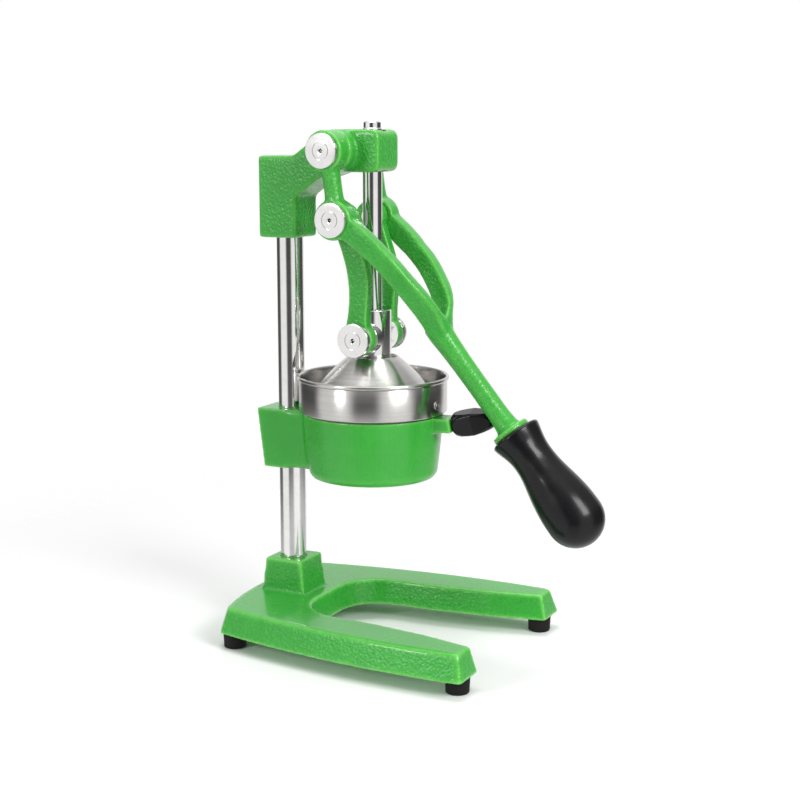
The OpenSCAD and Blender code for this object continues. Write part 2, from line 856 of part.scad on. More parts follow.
// Cup: a wall with a rolled lip, a floor ring and a centring ring under it
cup_section = concat(
    [[cup_hole_r, 0], [cup_ring_r - cup_t, 0], [cup_ring_r - cup_t, -cup_ring_h],
        [cup_ring_r, -cup_ring_h], [cup_ring_r, 0]],
    arc(cup_r - cup_foot_r, cup_foot_r, cup_foot_r, -90, 0, 4),
    [[cup_r, cup_h - cup_lip_h], [cup_r + cup_lip, cup_h - cup_lip_h + cup_lip/2],
        [cup_r + cup_lip, cup_h - cup_lip/2], [cup_r + cup_lip/2, cup_h], [cup_r - cup_t, cup_h]],
    arc(cup_r - cup_foot_r, cup_foot_r, cup_foot_r - cup_t, 0, -90, 4),
    [[cup_hole_r, cup_t]]);

module cup() {
    color([0.78, 0.78, 0.8])
        at_ram()
            translate([0, 0, seat_z])
                difference() {
                    rotate_extrude()
                        polygon(cup_section);
                    at_rivet()
                        cylinder(h = 4*cup_t, r = rivet_r/2 + fit, center = true);
                }
}

module at_rivet() {
    translate([0, 0, rivet_up])
        rotate([0, 0, rivet_turn])
            rotate([90, 0, 0])
                translate([0, 0, cup_r])
                    children();
}

// A small rivet through the cup's wall, with a flat head on each side
module cup_rivet() {
    color([0.5, 0.5, 0.52])
        at_ram()
            translate([0, 0, seat_z])
                at_rivet()
                    union() {
                        cylinder(h = rivet_t, r = rivet_r);
                        translate([0, 0, -cup_t - fit - rivet_t])
                            cylinder(h = cup_t + fit + rivet_t, r = rivet_r/2);
                        translate([0, 0, -cup_t - fit - rivet_t])
                            cylinder(h = rivet_t, r = rivet_in_r);
                    }
}

// Strainer: a slotted dome with a flat flange that lies on the cup's floor
module strainer() {
    color([0.78, 0.78, 0.8])
        at_ram()
            translate([0, 0, seat_z + cup_t])
                difference() {
                    rotate_extrude()
                        polygon(concat(
                            arc(0, -strainer_drop - cup_t, strainer_r,
                                asin((strainer_drop + cup_t)/strainer_r), 90, 10),
                            [[0, strainer_r - strainer_drop - cup_t - strainer_t]],
                            arc(0, -strainer_drop - cup_t, strainer_r - strainer_t,
                                90, asin((strainer_drop + cup_t)/(strainer_r - strainer_t)), 10),
                            [[strainer_rim_r, 0], [strainer_rim_r, strainer_t],
                                [strainer_floor_r, strainer_t]]));
                    for (i = [0:slots - 1])
                        rotate([0, 0, 360*i/slots])
                            translate([strainer_r/2, -slot_w/2, strainer_r/9])
                                cube([strainer_r, slot_w, strainer_r/2]);
                }
}

// The lever's long part is drawn lying level, from the link pin towards the front, then sloped
module at_lever() {
    translate([0, link_pin_y, link_pin_z])
        rotate([lever_slope, 0, 0])
            children();
}

// A turned part on the lever's axis, from one distance off the link pin
module along(from) {
    translate([0, -from, 0])
        rotate([90, 0, 0])
            children();
}

arm_count = len(arm_station_shares) - 1;
arm_top = flowing([for (i = [0:arm_count])
    [-arms_len*arm_station_shares[i], arms_arch*arm_lift_shares[i] + arms_depth*arm_depth_shares[i]/2]]);
arm_bottom = flowing([for (i = [arm_count:-1:0])
    [-arms_len*arm_station_shares[i], arms_arch*arm_lift_shares[i] - arms_depth*arm_depth_shares[i]/2]]);
arm_outside = flowing([for (i = [0:arm_count]) [eye_out*arm_outside_shares[i], -arms_len*arm_station_shares[i]]]);
arm_inside = flowing([for (i = [0:arm_count - 1]) [eye_in*arm_inside_shares[i], -arms_len*arm_station_shares[i]]]);

// Two arms that arch up and run together: their side view met with their plan
module arms() {
    intersection() {
        slab(eye_out)
            polygon(concat(arm_top, arm_bottom));
        translate([0, 0, -arm_reach])
            linear_extrude(2*arm_reach)
                difference() {
                    polygon(mirrored(arm_outside));
                    polygon(mirrored(concat([[eye_in*arm_inside_shares[0], over]], arm_inside)));
                }
    }
}

// Bar with bevelled edges between a lever eye and the next, in front of the line between them
module crank_bar(side) {
    half = crank_w/2;
    inner = eye_in + running;
    outer = eye_out - running;
    translate([0, link_pin_y, link_pin_z])
        rotate([-crank_lean, 0, 0])
            translate([0, -crank_ahead, 0])
                linear_extrude(crank)
                    polygon([for (p = [[inner + crank_bevel, -half], [outer - crank_bevel, -half],
                        [outer, crank_bevel - half], [outer, half - crank_bevel],
                        [outer - crank_bevel, half], [inner + crank_bevel, half],
                        [inner, half - crank_bevel], [inner, crank_bevel - half]]) [side*p[0], p[1]]]);
}

module lever() {
    color([0.28, 0.70, 0.24])
        at_ram()
            difference() {
                union() {
                    for (side = [left, right]) {
                        translate([0, pivot_back, pivot_z])
                            across(side, eye_in, eye_out, eye_r);
                        translate([0, link_pin_y, link_pin_z])
                            across(side, eye_in, eye_out, eye_r);
                        crank_bar(side);
                    }
                    at_lever() {
                        arms();
                        along(bar_from)
                            rotate_extrude()
                                polygon(concat([[0, 0]],
                                    [for (i = [0:len(bar_station_shares) - 1])
                                        [bar_r*bar_radius_shares[i], (collar_at - bar_from)*bar_station_shares[i]]],
                                    [[0, collar_at - bar_from]]));
                        along(collar_at)
                            cylinder(h = collar_t, r = collar_r);
                    }
                }
                translate([0, pivot_back, pivot_z])
                    through(eye_out + over, pivot_r + fit);
                translate([0, link_pin_y, link_pin_z])
                    through(eye_out + over, link_pin_r + fit);
                at_lever()
                    along(grip_at - grip_rod_in)
                        cylinder(h = grip_rod_in + over, r = grip_rod_r + fit);
            }
}

// Place along the grip of the first point of its round end
grip_belly_len = grip_end_at - grip_at;

module grip() {
    color([0.06, 0.06, 0.06])
        at_ram()
            at_lever()
                along(grip_at)
                    difference() {
                        translate([0, grip_rise, 0])
                            rotate_extrude()
                                polygon(concat([[0, 0]],
                                    [for (i = [0:len(grip_station_shares) - 1])
                                        [grip_neck_r*grip_radius_shares[i], grip_belly_len*grip_station_shares[i]]],
                                    arc(0, grip_belly_len, grip_r, 0, 90 - lever_slope, 3),
                                    arc(0, grip_belly_len, grip_r, 90 - lever_slope, 90, 4)));
                        translate([0, 0, -over])
                            cylinder(h = grip_rod_len - grip_rod_in + over, r = grip_rod_r + fit);
                    }
}

module grip_rod() {
    color([0.7, 0.7, 0.72])
        at_ram()
            at_lever()
                along(grip_at - grip_rod_in)
                    cylinder(h = grip_rod_len, r = grip_rod_r);
}

// Stretch of the link pin in the lever's eye
module link_pin(side) {
    color([0.7, 0.7, 0.72])
        at_ram()
            translate([0, link_pin_y, link_pin_z])
                difference() {
                    across(side, eye_in, eye_out, link_pin_r);
                    spigot_bore(side, eye_out);
                }
}

module link_pin_left() { link_pin(left); }
module link_pin_right() { link_pin(right); }

// Inner stretch of the link pin, which turns with the link it carries
module link_pin_end(side) {
    color([0.7, 0.7, 0.72])
        at_ram()
            translate([0, link_pin_y, link_pin_z])
                across(side, link_in, link_out, link_pin_r);
}

module link_pin_end_left() { link_pin_end(left); }
module link_pin_end_right() { link_pin_end(right); }

module link_pin_cap(side) {
    at_ram()
        translate([0, link_pin_y, link_pin_z])
            cap(side, eye_out);
}

module link_pin_cap_left() { link_pin_cap(left); }
module link_pin_cap_right() { link_pin_cap(right); }

// Side view of a link with its upper eye at the origin and its lower eye straight below:
// the front edge as shares of the belly, the rear edge as shares of the lower eye's radius
link_station_shares = [0.06, 0.16, 0.28, 0.4, 0.5, 0.6, 0.72, 0.84, 0.94];
link_front_shares = [0.63, 0.72, 0.86, 0.97, 1, 0.93, 0.77, 0.63, 0.57];
link_rear_shares = [0.62, 0.41, 0.22, 0.10, 0.07, 0.11, 0.25, 0.50, 0.80];
link_count = len(link_station_shares) - 1;
link_side = concat(
    flowing([for (i = [0:link_count]) [link_low_r*link_rear_shares[i], -link*link_station_shares[i]]]),
    flowing([for (i = [link_count:-1:0]) [-link_belly*link_front_shares[i], -link*link_station_shares[i]]]));

module link_plate(side) {
    color([0.28, 0.70, 0.24])
        at_ram()
            translate([0, link_pin_y, link_pin_z])
                rotate([-crank_lean, 0, 0])
                    difference() {
                        union() {
                            across(side, link_in, link_out, link_top_r);
                            translate([0, 0, -link])
                                across(side, link_in, link_out, link_low_r);
                            translate([side*(link_in + link_out)/2, 0, 0])
                                slab(link_t/2)
                                    polygon(link_side);
                        }
                        across(side, link_in - over, link_out + over, link_pin_r + fit);
                        translate([0, 0, -link])
                            across(side, link_in - over, link_out + over, ram_pin_r + fit);
                    }
}

module link_left() { link_plate(left); }
module link_right() { link_plate(right); }

// One pin through the ram's head and both links, with a washer and a cap on each end
module ram_pin() {
    color([0.7, 0.7, 0.72])
        at_ram()
            translate([0, 0, ram_pin_z])
                difference() {
                    through(washer_in + washer_t, ram_pin_r);
                    spigot_bore(left, washer_in + washer_t);
                    spigot_bore(right, washer_in + washer_t);
                }
}

module ram_pin_washer(side) {
    color([0.82, 0.82, 0.84])
        at_ram()
            translate([0, 0, ram_pin_z])
                difference() {
                    across(side, washer_in, washer_in + washer_t, cap_r - cap_ring_w);
                    across(side, washer_in - over, washer_in + washer_t + over, ram_pin_r + fit);
                }
}

module ram_pin_washer_left() { ram_pin_washer(left); }
module ram_pin_washer_right() { ram_pin_washer(right); }

module ram_pin_cap(side) {
    at_ram()
        translate([0, 0, ram_pin_z])
            cap(side, washer_in + washer_t);
}

module ram_pin_cap_left() { ram_pin_cap(left); }
module ram_pin_cap_right() { ram_pin_cap(right); }

// Ram: a rod pinned into its head, with the dome screwed on underneath
ram_head_low_z = ram_pin_z - ram_head_down;
ram_rod_low_z = ram_head_low_z + ram_rod_up;

module ram_rod() {
    color([0.8, 0.8, 0.82])
        at_ram()
            difference() {
                translate([0, 0, ram_rod_low_z])
                    cylinder(h = ram_top_z - ram_rod_low_z, r = ram_r);
                translate([0, 0, ram_pin_z])
                    through(ram_r + over, ram_pin_r + fit);
                translate([0, 0, ram_rod_low_z - over])
                    cylinder(h = dome_screw_up - ram_rod_up + over, r = dome_screw_r + fit);
            }
}

module ram_head() {
    color([0.8, 0.8, 0.82])
        at_ram()
            difference() {
                union() {
                    translate([0, 0, ram_head_low_z])
                        cylinder(h = ram_head_up + ram_head_down, r = ram_head_r);
                    translate([0, 0, ram_pin_z])
                        through(cross_half, cross_r);
                }
                translate([0, 0, ram_rod_low_z])
                    cylinder(h = ram_head_up + ram_head_down, r = ram_r + fit);
                translate([0, 0, ram_pin_z])
                    through(cross_half + over, ram_pin_r + fit);
                translate([0, 0, ram_head_low_z - over])
                    cylinder(h = ram_rod_up + 2*over, r = dome_screw_r + fit);
            }
}

// Dome: a hollow cone with a flat top and a rounded shoulder, open underneath
dome_edge_z = seat_z + dome_edge_up;
dome_h = ram_head_low_z - dome_edge_z;

// Shoulder of the dome: share of the way from the flat top's radius to the edge's, and of the height
dome_out_shares = [0.32, 0.67, 0.87, 0.97, 1, 1];
dome_up_shares = [0.78, 0.51, 0.33, 0.18, 0.08, 0];
dome_outside = concat([[dome_flat_r, ram_head_low_z]],
    [for (i = [0:len(dome_out_shares) - 1])
        [dome_flat_r + (dome_r - dome_flat_r)*dome_out_shares[i], dome_edge_z + dome_h*dome_up_shares[i]]]);

// Points of a falling line moved inwards, square to the stretch between their neighbours
function inwards(points, t) =
    let (last = len(points) - 1)
        [for (i = [0:last])
            let (d = points[min(i + 1, last)] - points[max(i - 1, 0)])
                points[i] + t*[d[1], -d[0]]/norm(d)];

module press_dome() {
    dome_inside = inwards(dome_outside, dome_t);
    color([0.8, 0.8, 0.82])
        at_ram()
            difference() {
                rotate_extrude()
                    polygon(concat([[0, ram_head_low_z]], dome_outside,
                        [for (i = [len(dome_inside) - 1:-1:1]) dome_inside[i]],
                        [[dome_flat_r - dome_t/2, ram_head_low_z - dome_t], [0, ram_head_low_z - dome_t]]));
                translate([0, 0, ram_head_low_z - dome_t - over])
                    cylinder(h = dome_t + 2*over, r = dome_screw_r + fit);
            }
}

module dome_screw() {
    color([0.7, 0.7, 0.72])
        at_ram()
            translate([0, 0, ram_head_low_z - dome_t - dome_screw_head_h])
                union() {
                    cylinder(h = dome_screw_head_h, r = dome_screw_head_r);
                    cylinder(h = dome_screw_head_h + dome_t + dome_screw_up, r = dome_screw_r);
                }
}

base();
foot_front_left();
foot_front_right();
foot_rear_left();
foot_rear_right();
foot_screws();
column();
column_bolt();
column_washer();
head();
head_set_screws();
ram_bush_upper();
ram_bush_lower();
pivot_shaft();
pivot_cap_left();
pivot_cap_right();
holder();
holder_set_screw();
holder_knob();
cup();
cup_rivet();
strainer();
lever();
grip();
grip_rod();
link_pin_left();
link_pin_right();
link_pin_cap_left();
link_pin_cap_right();
link_left();
link_right();
link_pin_end_left();
link_pin_end_right();
ram_pin();
ram_pin_washer_left();
ram_pin_washer_right();
ram_pin_cap_left();
ram_pin_cap_right();
ram_rod();
ram_head();
press_dome();
dome_screw();
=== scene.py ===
# %% [markdown]
# A lever citrus press
# A long cranked lever turns on a cast head and pushes a steel ram down. Half an orange lies on a slotted
# strainer, the ram's cone presses it, and the juice runs into a glass between the two arms of the base.
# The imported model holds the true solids. It is loaded first, and every piece made here keeps its place.

# %% Load the frame
import math
import json
import bpy
from mathutils import Matrix, Vector


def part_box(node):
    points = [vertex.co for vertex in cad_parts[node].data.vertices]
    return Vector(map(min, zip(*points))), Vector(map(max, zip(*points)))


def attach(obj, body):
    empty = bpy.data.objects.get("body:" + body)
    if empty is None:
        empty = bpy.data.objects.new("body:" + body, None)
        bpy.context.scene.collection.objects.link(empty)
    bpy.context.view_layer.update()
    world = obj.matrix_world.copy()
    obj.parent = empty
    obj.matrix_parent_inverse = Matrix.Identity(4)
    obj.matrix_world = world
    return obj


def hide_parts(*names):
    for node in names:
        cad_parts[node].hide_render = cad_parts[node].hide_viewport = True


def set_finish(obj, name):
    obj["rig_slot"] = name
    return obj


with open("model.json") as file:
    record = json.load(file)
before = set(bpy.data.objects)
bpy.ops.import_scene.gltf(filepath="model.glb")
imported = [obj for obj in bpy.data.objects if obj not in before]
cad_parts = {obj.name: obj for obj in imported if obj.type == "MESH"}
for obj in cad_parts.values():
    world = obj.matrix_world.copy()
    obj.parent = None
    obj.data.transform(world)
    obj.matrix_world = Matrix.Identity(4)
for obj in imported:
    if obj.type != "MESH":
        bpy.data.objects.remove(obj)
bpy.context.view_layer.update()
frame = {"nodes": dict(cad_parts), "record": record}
nodes = frame["nodes"]

# %% [markdown]
# Most pieces are turned about an axis or sit on one, so the centres of a few shafts are all the places
# that the rest of the lesson needs. They are read from the loaded solids. Blender counts in metres. The
# sizes of pieces are written in millimetres and meet MM on their way to Blender, and those of the lamps
# and the floor are in metres already.

# %% Places
MM = 0.001


def middle(node):
    low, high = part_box(node)
    return (low + high)/2


ram_axis = middle("ram_rod")
pivot = middle("pivot_shaft")
link_pin = middle("link_pin_left")
ram_pin = middle("ram_pin")
print("ram axis at y =", round(ram_axis.y, 4), "pivot at", [round(v, 4) for v in pivot])

# %% [markdown]
# The camera stands to the left of the machine, a little over the cup, and looks along the short side of
# the base. A long lens keeps the column and the ram nearly parallel.

# %% Camera
CAMERA_PLACE = (-1114.19*MM, ram_axis.y - 593.19*MM, 431.25*MM)
CAMERA_TURN, CAMERA_DIP = -62.99, 10.06   # degrees from the press's length, and below level
LENS, FILM_WIDTH = 68.97, 36              # a film camera's millimetres
camera = bpy.data.objects.new("camera", bpy.data.cameras.new("camera"))
bpy.context.scene.collection.objects.link(camera)
camera.location = CAMERA_PLACE
camera.rotation_euler = (math.radians(90 - CAMERA_DIP), 0, math.radians(CAMERA_TURN))
camera.data.lens = LENS
camera.data.sensor_width = FILM_WIDTH
bpy.context.scene.camera = camera
bpy.context.scene.view_settings.view_transform = "Standard"
print("camera at", [round(v, 3) for v in CAMERA_PLACE])

# %% [markdown]
# The room, the floor and every finish are built from shader nodes. Placing them by hand in the editor
# would be slow to repeat, so three short helpers add a node, do a sum and join sockets.

# %% Shader helpers


def feed(tree, socket, value):
    """Links another node's output to a socket, or writes a plain value in it."""
    if isinstance(value, bpy.types.NodeSocket):
        tree.links.new(value, socket)
    else:
        socket.default_value = value


def add(tree, kind, **sockets):
    """Adds a node and feeds its sockets, which are named with _ for a space."""
    made = tree.nodes.new(kind)
    for name, value in sockets.items():
        feed(tree, made.inputs[name.replace("_", " ")], value)
    return made


def maths(tree, operation, a, b=0.0, c=0.0):
    """One Math node, given back as its output."""
    made = tree.nodes.new("ShaderNodeMath")
    made.operation = operation
    for socket, value in zip(made.inputs, (a, b, c)):
        feed(tree, socket, value)
    return made.outputs[0]

# %% [markdown]
# Chrome shows what stands round it, so a white room gives a rod that looks like paper. A studio hangs
# dark cloths between its soft lamps for that reason. Here the world does the same: it is white to the
# camera, evenly pale to everything else, and has three soft dark bands that only reflections see.

# %% World
DARK_BANDS = [(196, 20), (87, 26), (307, 34)]   # direction and half width, in degrees
BAND_BLUR = 9                                   # half width of a band's soft sides, in degrees
BAND_DARKNESS, BAND_POWER = 0.93, 3.0           # the power lets bands die out overhead and underfoot
LEAST_LEVEL = 0.05                              # so that looking straight up divides by more than zero
AMBIENT = 0.52                                  # strength of the room for all but reflections
world = bpy.data.worlds.new("studio")
bpy.context.scene.world = world
world.use_nodes = True
tree = world.node_tree
tree.nodes.clear()
direction = add(tree, "ShaderNodeTexCoord").outputs["Generated"]
parts = add(tree, "ShaderNodeSeparateXYZ", Vector=direction).outputs
upward = maths(tree, "MULTIPLY", parts["Z"], parts["Z"])
level_part = maths(tree, "SQRT", maths(tree, "SUBTRACT", 1.0, upward))
dark = 0.0
for towards, half in DARK_BANDS:
    along_x = maths(tree, "MULTIPLY", parts["X"], math.cos(math.radians(towards)))
    facing = maths(tree, "MULTIPLY_ADD", parts["Y"], math.sin(math.radians(towards)), along_x)
    facing = maths(tree, "DIVIDE", facing, maths(tree, "MAXIMUM", level_part, LEAST_LEVEL))
    band = add(tree, "ShaderNodeMapRange", Value=facing, From_Min=math.cos(math.radians(half + BAND_BLUR)),
               From_Max=math.cos(math.radians(half - BAND_BLUR)))
    band.interpolation_type = "SMOOTHSTEP"
    dark = maths(tree, "MAXIMUM", dark, band.outputs[0])
dark = maths(tree, "MULTIPLY", dark, maths(tree, "POWER", level_part, BAND_POWER))
room = maths(tree, "MULTIPLY_ADD", dark, -BAND_DARKNESS, 1.0)
path = add(tree, "ShaderNodeLightPath").outputs
over_ambient = maths(tree, "SUBTRACT", room, AMBIENT)
pale = maths(tree, "MULTIPLY_ADD", path["Is Glossy Ray"], over_ambient, AMBIENT)
seen = maths(tree, "MAXIMUM", path["Is Camera Ray"], path["Is Transmission Ray"])
strength = maths(tree, "MULTIPLY_ADD", seen, maths(tree, "SUBTRACT", 1.0, pale), pale)
background = add(tree, "ShaderNodeBackground", Color=(1, 1, 1, 1), Strength=strength)
tree.links.new(background.outputs[0], add(tree, "ShaderNodeOutputWorld").inputs["Surface"])
print("dark bands towards", [towards for towards, half in DARK_BANDS], "degrees")

# %% [markdown]
# Three soft lamps: the main one high in front on the user's side, a small one from the left that makes
# the grain of the paint glint, and a broad one overhead that draws the light edges along the castings.

# %% Lamps
AIM = Vector((0, 0, 0.22))   # over the middle of the base, about level with the cup


def lamp(name, at, size, watts):
    data = bpy.data.lights.new(name, "AREA")
    data.shape = "SQUARE"
    data.size = size
    data.energy = watts
    made = bpy.data.objects.new(name, data)
    bpy.context.scene.collection.objects.link(made)
    made.location = at
    aim = AIM - made.location
    made.rotation_euler = aim.to_track_quat("-Z", "Y").to_euler()
    print(name, watts, "W")


lamp("main_lamp", at=(-0.55, -1.45, 1.15), size=0.7, watts=22)
lamp("side_lamp", at=(-1.5, 0.7, 0.75), size=0.35, watts=7)
lamp("top_lamp", at=(0.25, 0.15, 1.7), size=1.0, watts=11.5)

# %% [markdown]
# The floor is a pale sheet that is only there for the shadow. It fades out with distance, so that no
# horizon shows against the white room, and chrome sees it faintly, so that the dark bands reach the
# column's lower end too.

# %% Floor
FLOOR_SIZE, FLOOR_GAP = 3, 0.0002    # metres across, and a hair below the feet
FADE_FROM, FADE_TO = 0.3, 0.75       # metres from the middle
LOST_IN_METAL = 0.55
bpy.ops.object.select_all(action="DESELECT")
bpy.ops.mesh.primitive_plane_add(size=FLOOR_SIZE, location=(0, 0, -FLOOR_GAP))
floor = bpy.context.object
floor.name = "floor"
floor_paint = bpy.data.materials.new("floor_sheet")
floor_paint.use_nodes = True
tree = floor_paint.node_tree
shader = tree.nodes["Principled BSDF"].inputs
shader["Base Color"].default_value = (0.93, 0.93, 0.93, 1)
shader["Roughness"].default_value = 0.9
shader["Specular IOR Level"].default_value = 0.1
spot = add(tree, "ShaderNodeTexCoord").outputs["Object"]
far_off = add(tree, "ShaderNodeVectorMath", Vector=spot)
far_off.operation = "LENGTH"
fade = add(tree, "ShaderNodeMapRange", Value=far_off.outputs["Value"], From_Min=FADE_FROM, From_Max=FADE_TO,
           To_Min=1.0, To_Max=0.0)
fade.interpolation_type = "SMOOTHSTEP"
in_metal = add(tree, "ShaderNodeLightPath").outputs["Is Glossy Ray"]
faint = maths(tree, "MULTIPLY", fade.outputs[0], maths(tree, "MULTIPLY_ADD", in_metal, -LOST_IN_METAL, 1.0))
tree.links.new(faint, shader["Alpha"])
floor.data.materials.append(floor_paint)
print("floor sheet", FLOOR_SIZE, "m across")

# %% [markdown]
# Blender's operators act on whatever is selected, and loading left every solid selected. So each step
# starts by taking one piece in hand and letting go of the rest. `finish` applies what was set up, puts the
# piece's place into its mesh and lets its flat and round faces meet in clean edges.

# %% Handling pieces
made_pieces = []


def take(piece):
    if bpy.context.object and bpy.context.object.mode != "OBJECT":
        bpy.ops.object.mode_set(mode="OBJECT")
    bpy.ops.object.select_all(action="DESELECT")
    piece.select_set(True)
    bpy.context.view_layer.objects.active = piece
    return piece


def modify(piece, kind, **settings):
    """Adds one modifier, sets it and applies it at once."""
    take(piece)
    made = piece.modifiers.new(kind.lower(), kind)
    for name, value in settings.items():
        setattr(made, name, value)
    bpy.ops.object.modifier_apply(modifier=made.name)


def finish(piece, body, slot, *stands_for, angle=38):
    """Closes a piece: its body, its finish and the solids that it stands for."""
    take(piece)
    bpy.ops.object.transform_apply(location=True, rotation=True, scale=True)
    bpy.ops.object.shade_smooth_by_angle(angle=math.radians(angle))
    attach(piece, body)
    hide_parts(*stands_for)
    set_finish(piece, slot)
    made_pieces.append(piece)
    print(piece.name, len(piece.data.polygons), "faces")
    return piece


def copy_of(piece, name):
    take(piece)
    bpy.ops.object.duplicate()
    made = bpy.context.object
    made.name = made.data.name = name
    return made

# %% [markdown]
# The castings
# Base, head, holder, links and lever are cast iron under thick enamel. A sand casting has no sharp edge:
# the mould rounds the outside corners and fills the inside ones. Bevelling dozens of edges by hand would
# be slow and would fail where curved faces meet. Instead a copy of the solid is merged, laid over with an
# even grid of small faces, and relaxed a few rounds, which rounds corners and fills hollows alike.

# %% Casting a solid


def casting(node, body, grain, rounds, slot="green_enamel"):
    """Copies a solid, covers it with faces as small as grain and relaxes them."""
    piece = copy_of(nodes[node], node + ("_casting" if slot == "green_enamel" else "_moulded"))
    piece.parent = None
    for key in [k for k in piece.keys() if k.startswith("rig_")]:
        del piece[key]
    bpy.ops.object.mode_set(mode="EDIT")
    bpy.ops.mesh.select_all(action="SELECT")
    bpy.ops.mesh.remove_doubles(threshold=0.01*MM)
    bpy.ops.object.mode_set(mode="OBJECT")
    modify(piece, "REMESH", mode="VOXEL", voxel_size=grain, use_smooth_shade=True)
    modify(piece, "SMOOTH", factor=0.5, iterations=rounds)
    return finish(piece, body, slot, node, angle=60)


casting("base", "stand", grain=1.35*MM, rounds=8)
casting("head", "stand", grain=0.9*MM, rounds=60)
holder = casting("holder", "stand", grain=0.95*MM, rounds=9)
lever = casting("lever", "lever_arm", grain=0.95*MM, rounds=14)
for node in ("link_left", "link_right"):
    casting(node, "links", grain=0.75*MM, rounds=12)

# %% [markdown]
# Where the holder's flat column block runs into its round bowl, the pattern maker filled the inside corner
# with a broad fillet. Relaxing the whole casting for long would melt the block's crisp edges too. So only
# the corners near that line are relaxed, through a vertex group, and the rim under the cup is left as it is.

# %% Filling the holder's inside corners
BLOCK_HALF_W, BOWL_R = 19.5*MM, 58.5*MM
FILLET_REACH, FILLET_FADE = 20*MM, 8*MM
RIM_KEPT, RIM_FADE = 1*MM, 10*MM
corner_y = ram_axis.y + math.sqrt(BOWL_R**2 - BLOCK_HALF_W**2)
rim_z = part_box("holder")[1].z


def faded(distance, fade):
    """A share that grows from 0 to 1 over the distance given as fade."""
    return min(1, max(0, distance/fade))


def relax(piece, share_at, rounds):
    """Relaxes a casting further, each corner of its mesh by the share that share_at gives it."""
    take(piece)
    loosened = piece.vertex_groups.new(name="loosened")
    for corner in piece.data.vertices:
        loosened.add([corner.index], share_at(corner.co), "REPLACE")
    modify(piece, "SMOOTH", factor=0.5, iterations=rounds, vertex_group="loosened")
    piece.vertex_groups.clear()
    print(piece.name, "relaxed in places for", rounds, "rounds")


def near_block(co):
    away = math.hypot(abs(co.x) - BLOCK_HALF_W, co.y - corner_y)
    return min(faded(FILLET_REACH - away, FILLET_FADE), faded(rim_z - co.z - RIM_KEPT, RIM_FADE))


relax(holder, near_block, rounds=260)

# %% [markdown]
# Between its eyes and its collar the lever is nearly round, and its two arms flow into one bar. So the
# corners there are relaxed much further, while the shares keep the eyes and the collar as they are.

# %% Rounding the lever's arms
LEVER_SLOPE = math.radians(50.3)
EYE_KEPT, COLLAR_AT, ARM_FADE = 16*MM, 207*MM, 8*MM
lever_frame = Matrix.Translation((0, link_pin.y, link_pin.z)) @ Matrix.Rotation(LEVER_SLOPE, 4, "X")
into_lever = lever_frame.inverted()


def on_arm(co):
    along = -(into_lever @ co).y
    clear = min((co.yz - centre.yz).length for centre in (pivot, link_pin))
    return min(faded(clear - EYE_KEPT, ARM_FADE), faded(COLLAR_AT - along, ARM_FADE))


relax(lever, on_arm, rounds=44)

# %% [markdown]
# Turned pieces
# Caps, washers, ram, cone, cup, strainer, rivet, feet and grip come off a lathe or look as if they did.
# Each starts as one point: a small plane is merged to its centre, the point is pushed along the
# outline, and the finished line is spun once round. The outline is a list of radius and height.

# %% Spinning an outline


def turned(name, outline, steps=96, soft=0.0):
    """Spins an outline of radius and height round the upright axis, and bevels its edges by soft."""
    bpy.ops.object.select_all(action="DESELECT")
    bpy.ops.mesh.primitive_plane_add(size=10*MM, location=(0, 0, 0))
    piece = take(bpy.context.object)
    piece.name = piece.data.name = name
    bpy.ops.object.mode_set(mode="EDIT")
    bpy.ops.mesh.select_mode(type="VERT")
    bpy.ops.mesh.select_all(action="SELECT")
    bpy.ops.mesh.merge(type="CENTER")
    bpy.ops.transform.translate(value=(outline[0][0], 0, outline[0][1]))
    for here, there in zip(outline, outline[1:]):
        step = (there[0] - here[0], 0, there[1] - here[1])
        bpy.ops.mesh.extrude_vertices_move(TRANSFORM_OT_translate={"value": step})
    bpy.ops.mesh.select_all(action="SELECT")
    bpy.ops.mesh.spin(steps=steps, angle=2*math.pi, center=(0, 0, 0), axis=(0, 0, 1))
    bpy.ops.mesh.select_all(action="SELECT")
    bpy.ops.mesh.remove_doubles(threshold=0.002*MM)
    bpy.ops.mesh.normals_make_consistent(inside=False)
    bpy.ops.object.mode_set(mode="OBJECT")
    if soft:
        modify(piece, "BEVEL", width=soft, segments=3, limit_method="ANGLE", angle_limit=math.radians(28))
    return piece


def arc(centre, across, up, start, end, steps):
    """Points of a round or oval arc between two angles, in degrees up from straight outwards."""
    angles = [math.radians(start + (end - start)*i/steps) for i in range(steps + 1)]
    return [(centre[0] + across*math.cos(a), centre[1] + up*math.sin(a)) for a in angles]


def eased(points, steps=5):
    """Puts rounded steps between given points, so that a profile bends smoothly through them."""
    ends = [points[0]] + list(points) + [points[-1]]
    line = []
    for a, b, c, d in zip(ends, ends[1:], ends[2:], ends[3:]):
        for i in range(steps):
            t = i/steps
            line.append(tuple(0.5*(2*b[k] + (c[k] - a[k])*t + (2*a[k] - 5*b[k] + 4*c[k] - d[k])*t*t
                                   + (3*b[k] - a[k] - 3*c[k] + d[k])*t*t*t) for k in (0, 1)))
    return line + [points[-1]]


def mm(points):
    return [(r*MM, h*MM) for r, h in points]


def shade_inside(piece, inside):
    """Gives the chosen faces the piece's second, dark finish: painted shade in a gap or hole where no light
    comes.
    """
    piece.data.materials.append(None)
    piece.data.materials.append(None)
    for face in piece.data.polygons:
        face.material_index = 1 if inside(face.center) else 0


def place(piece, matrix):
    piece.matrix_world = matrix
    take(piece)
    bpy.ops.object.transform_apply(location=True, rotation=True, scale=True)
    return piece

# %% [markdown]
# Every shaft ends in a round chromed cap with a thin ring and a small punched centre. They are all
# alike, so one is turned and the others are copies of it. The rim gets a small round of four points, since
# that is where chrome catches a bright line, and the ring keeps sharp sides, so that it reads as a dark
# line. The face is a very flat dome, so that each cap shades from light to grey.

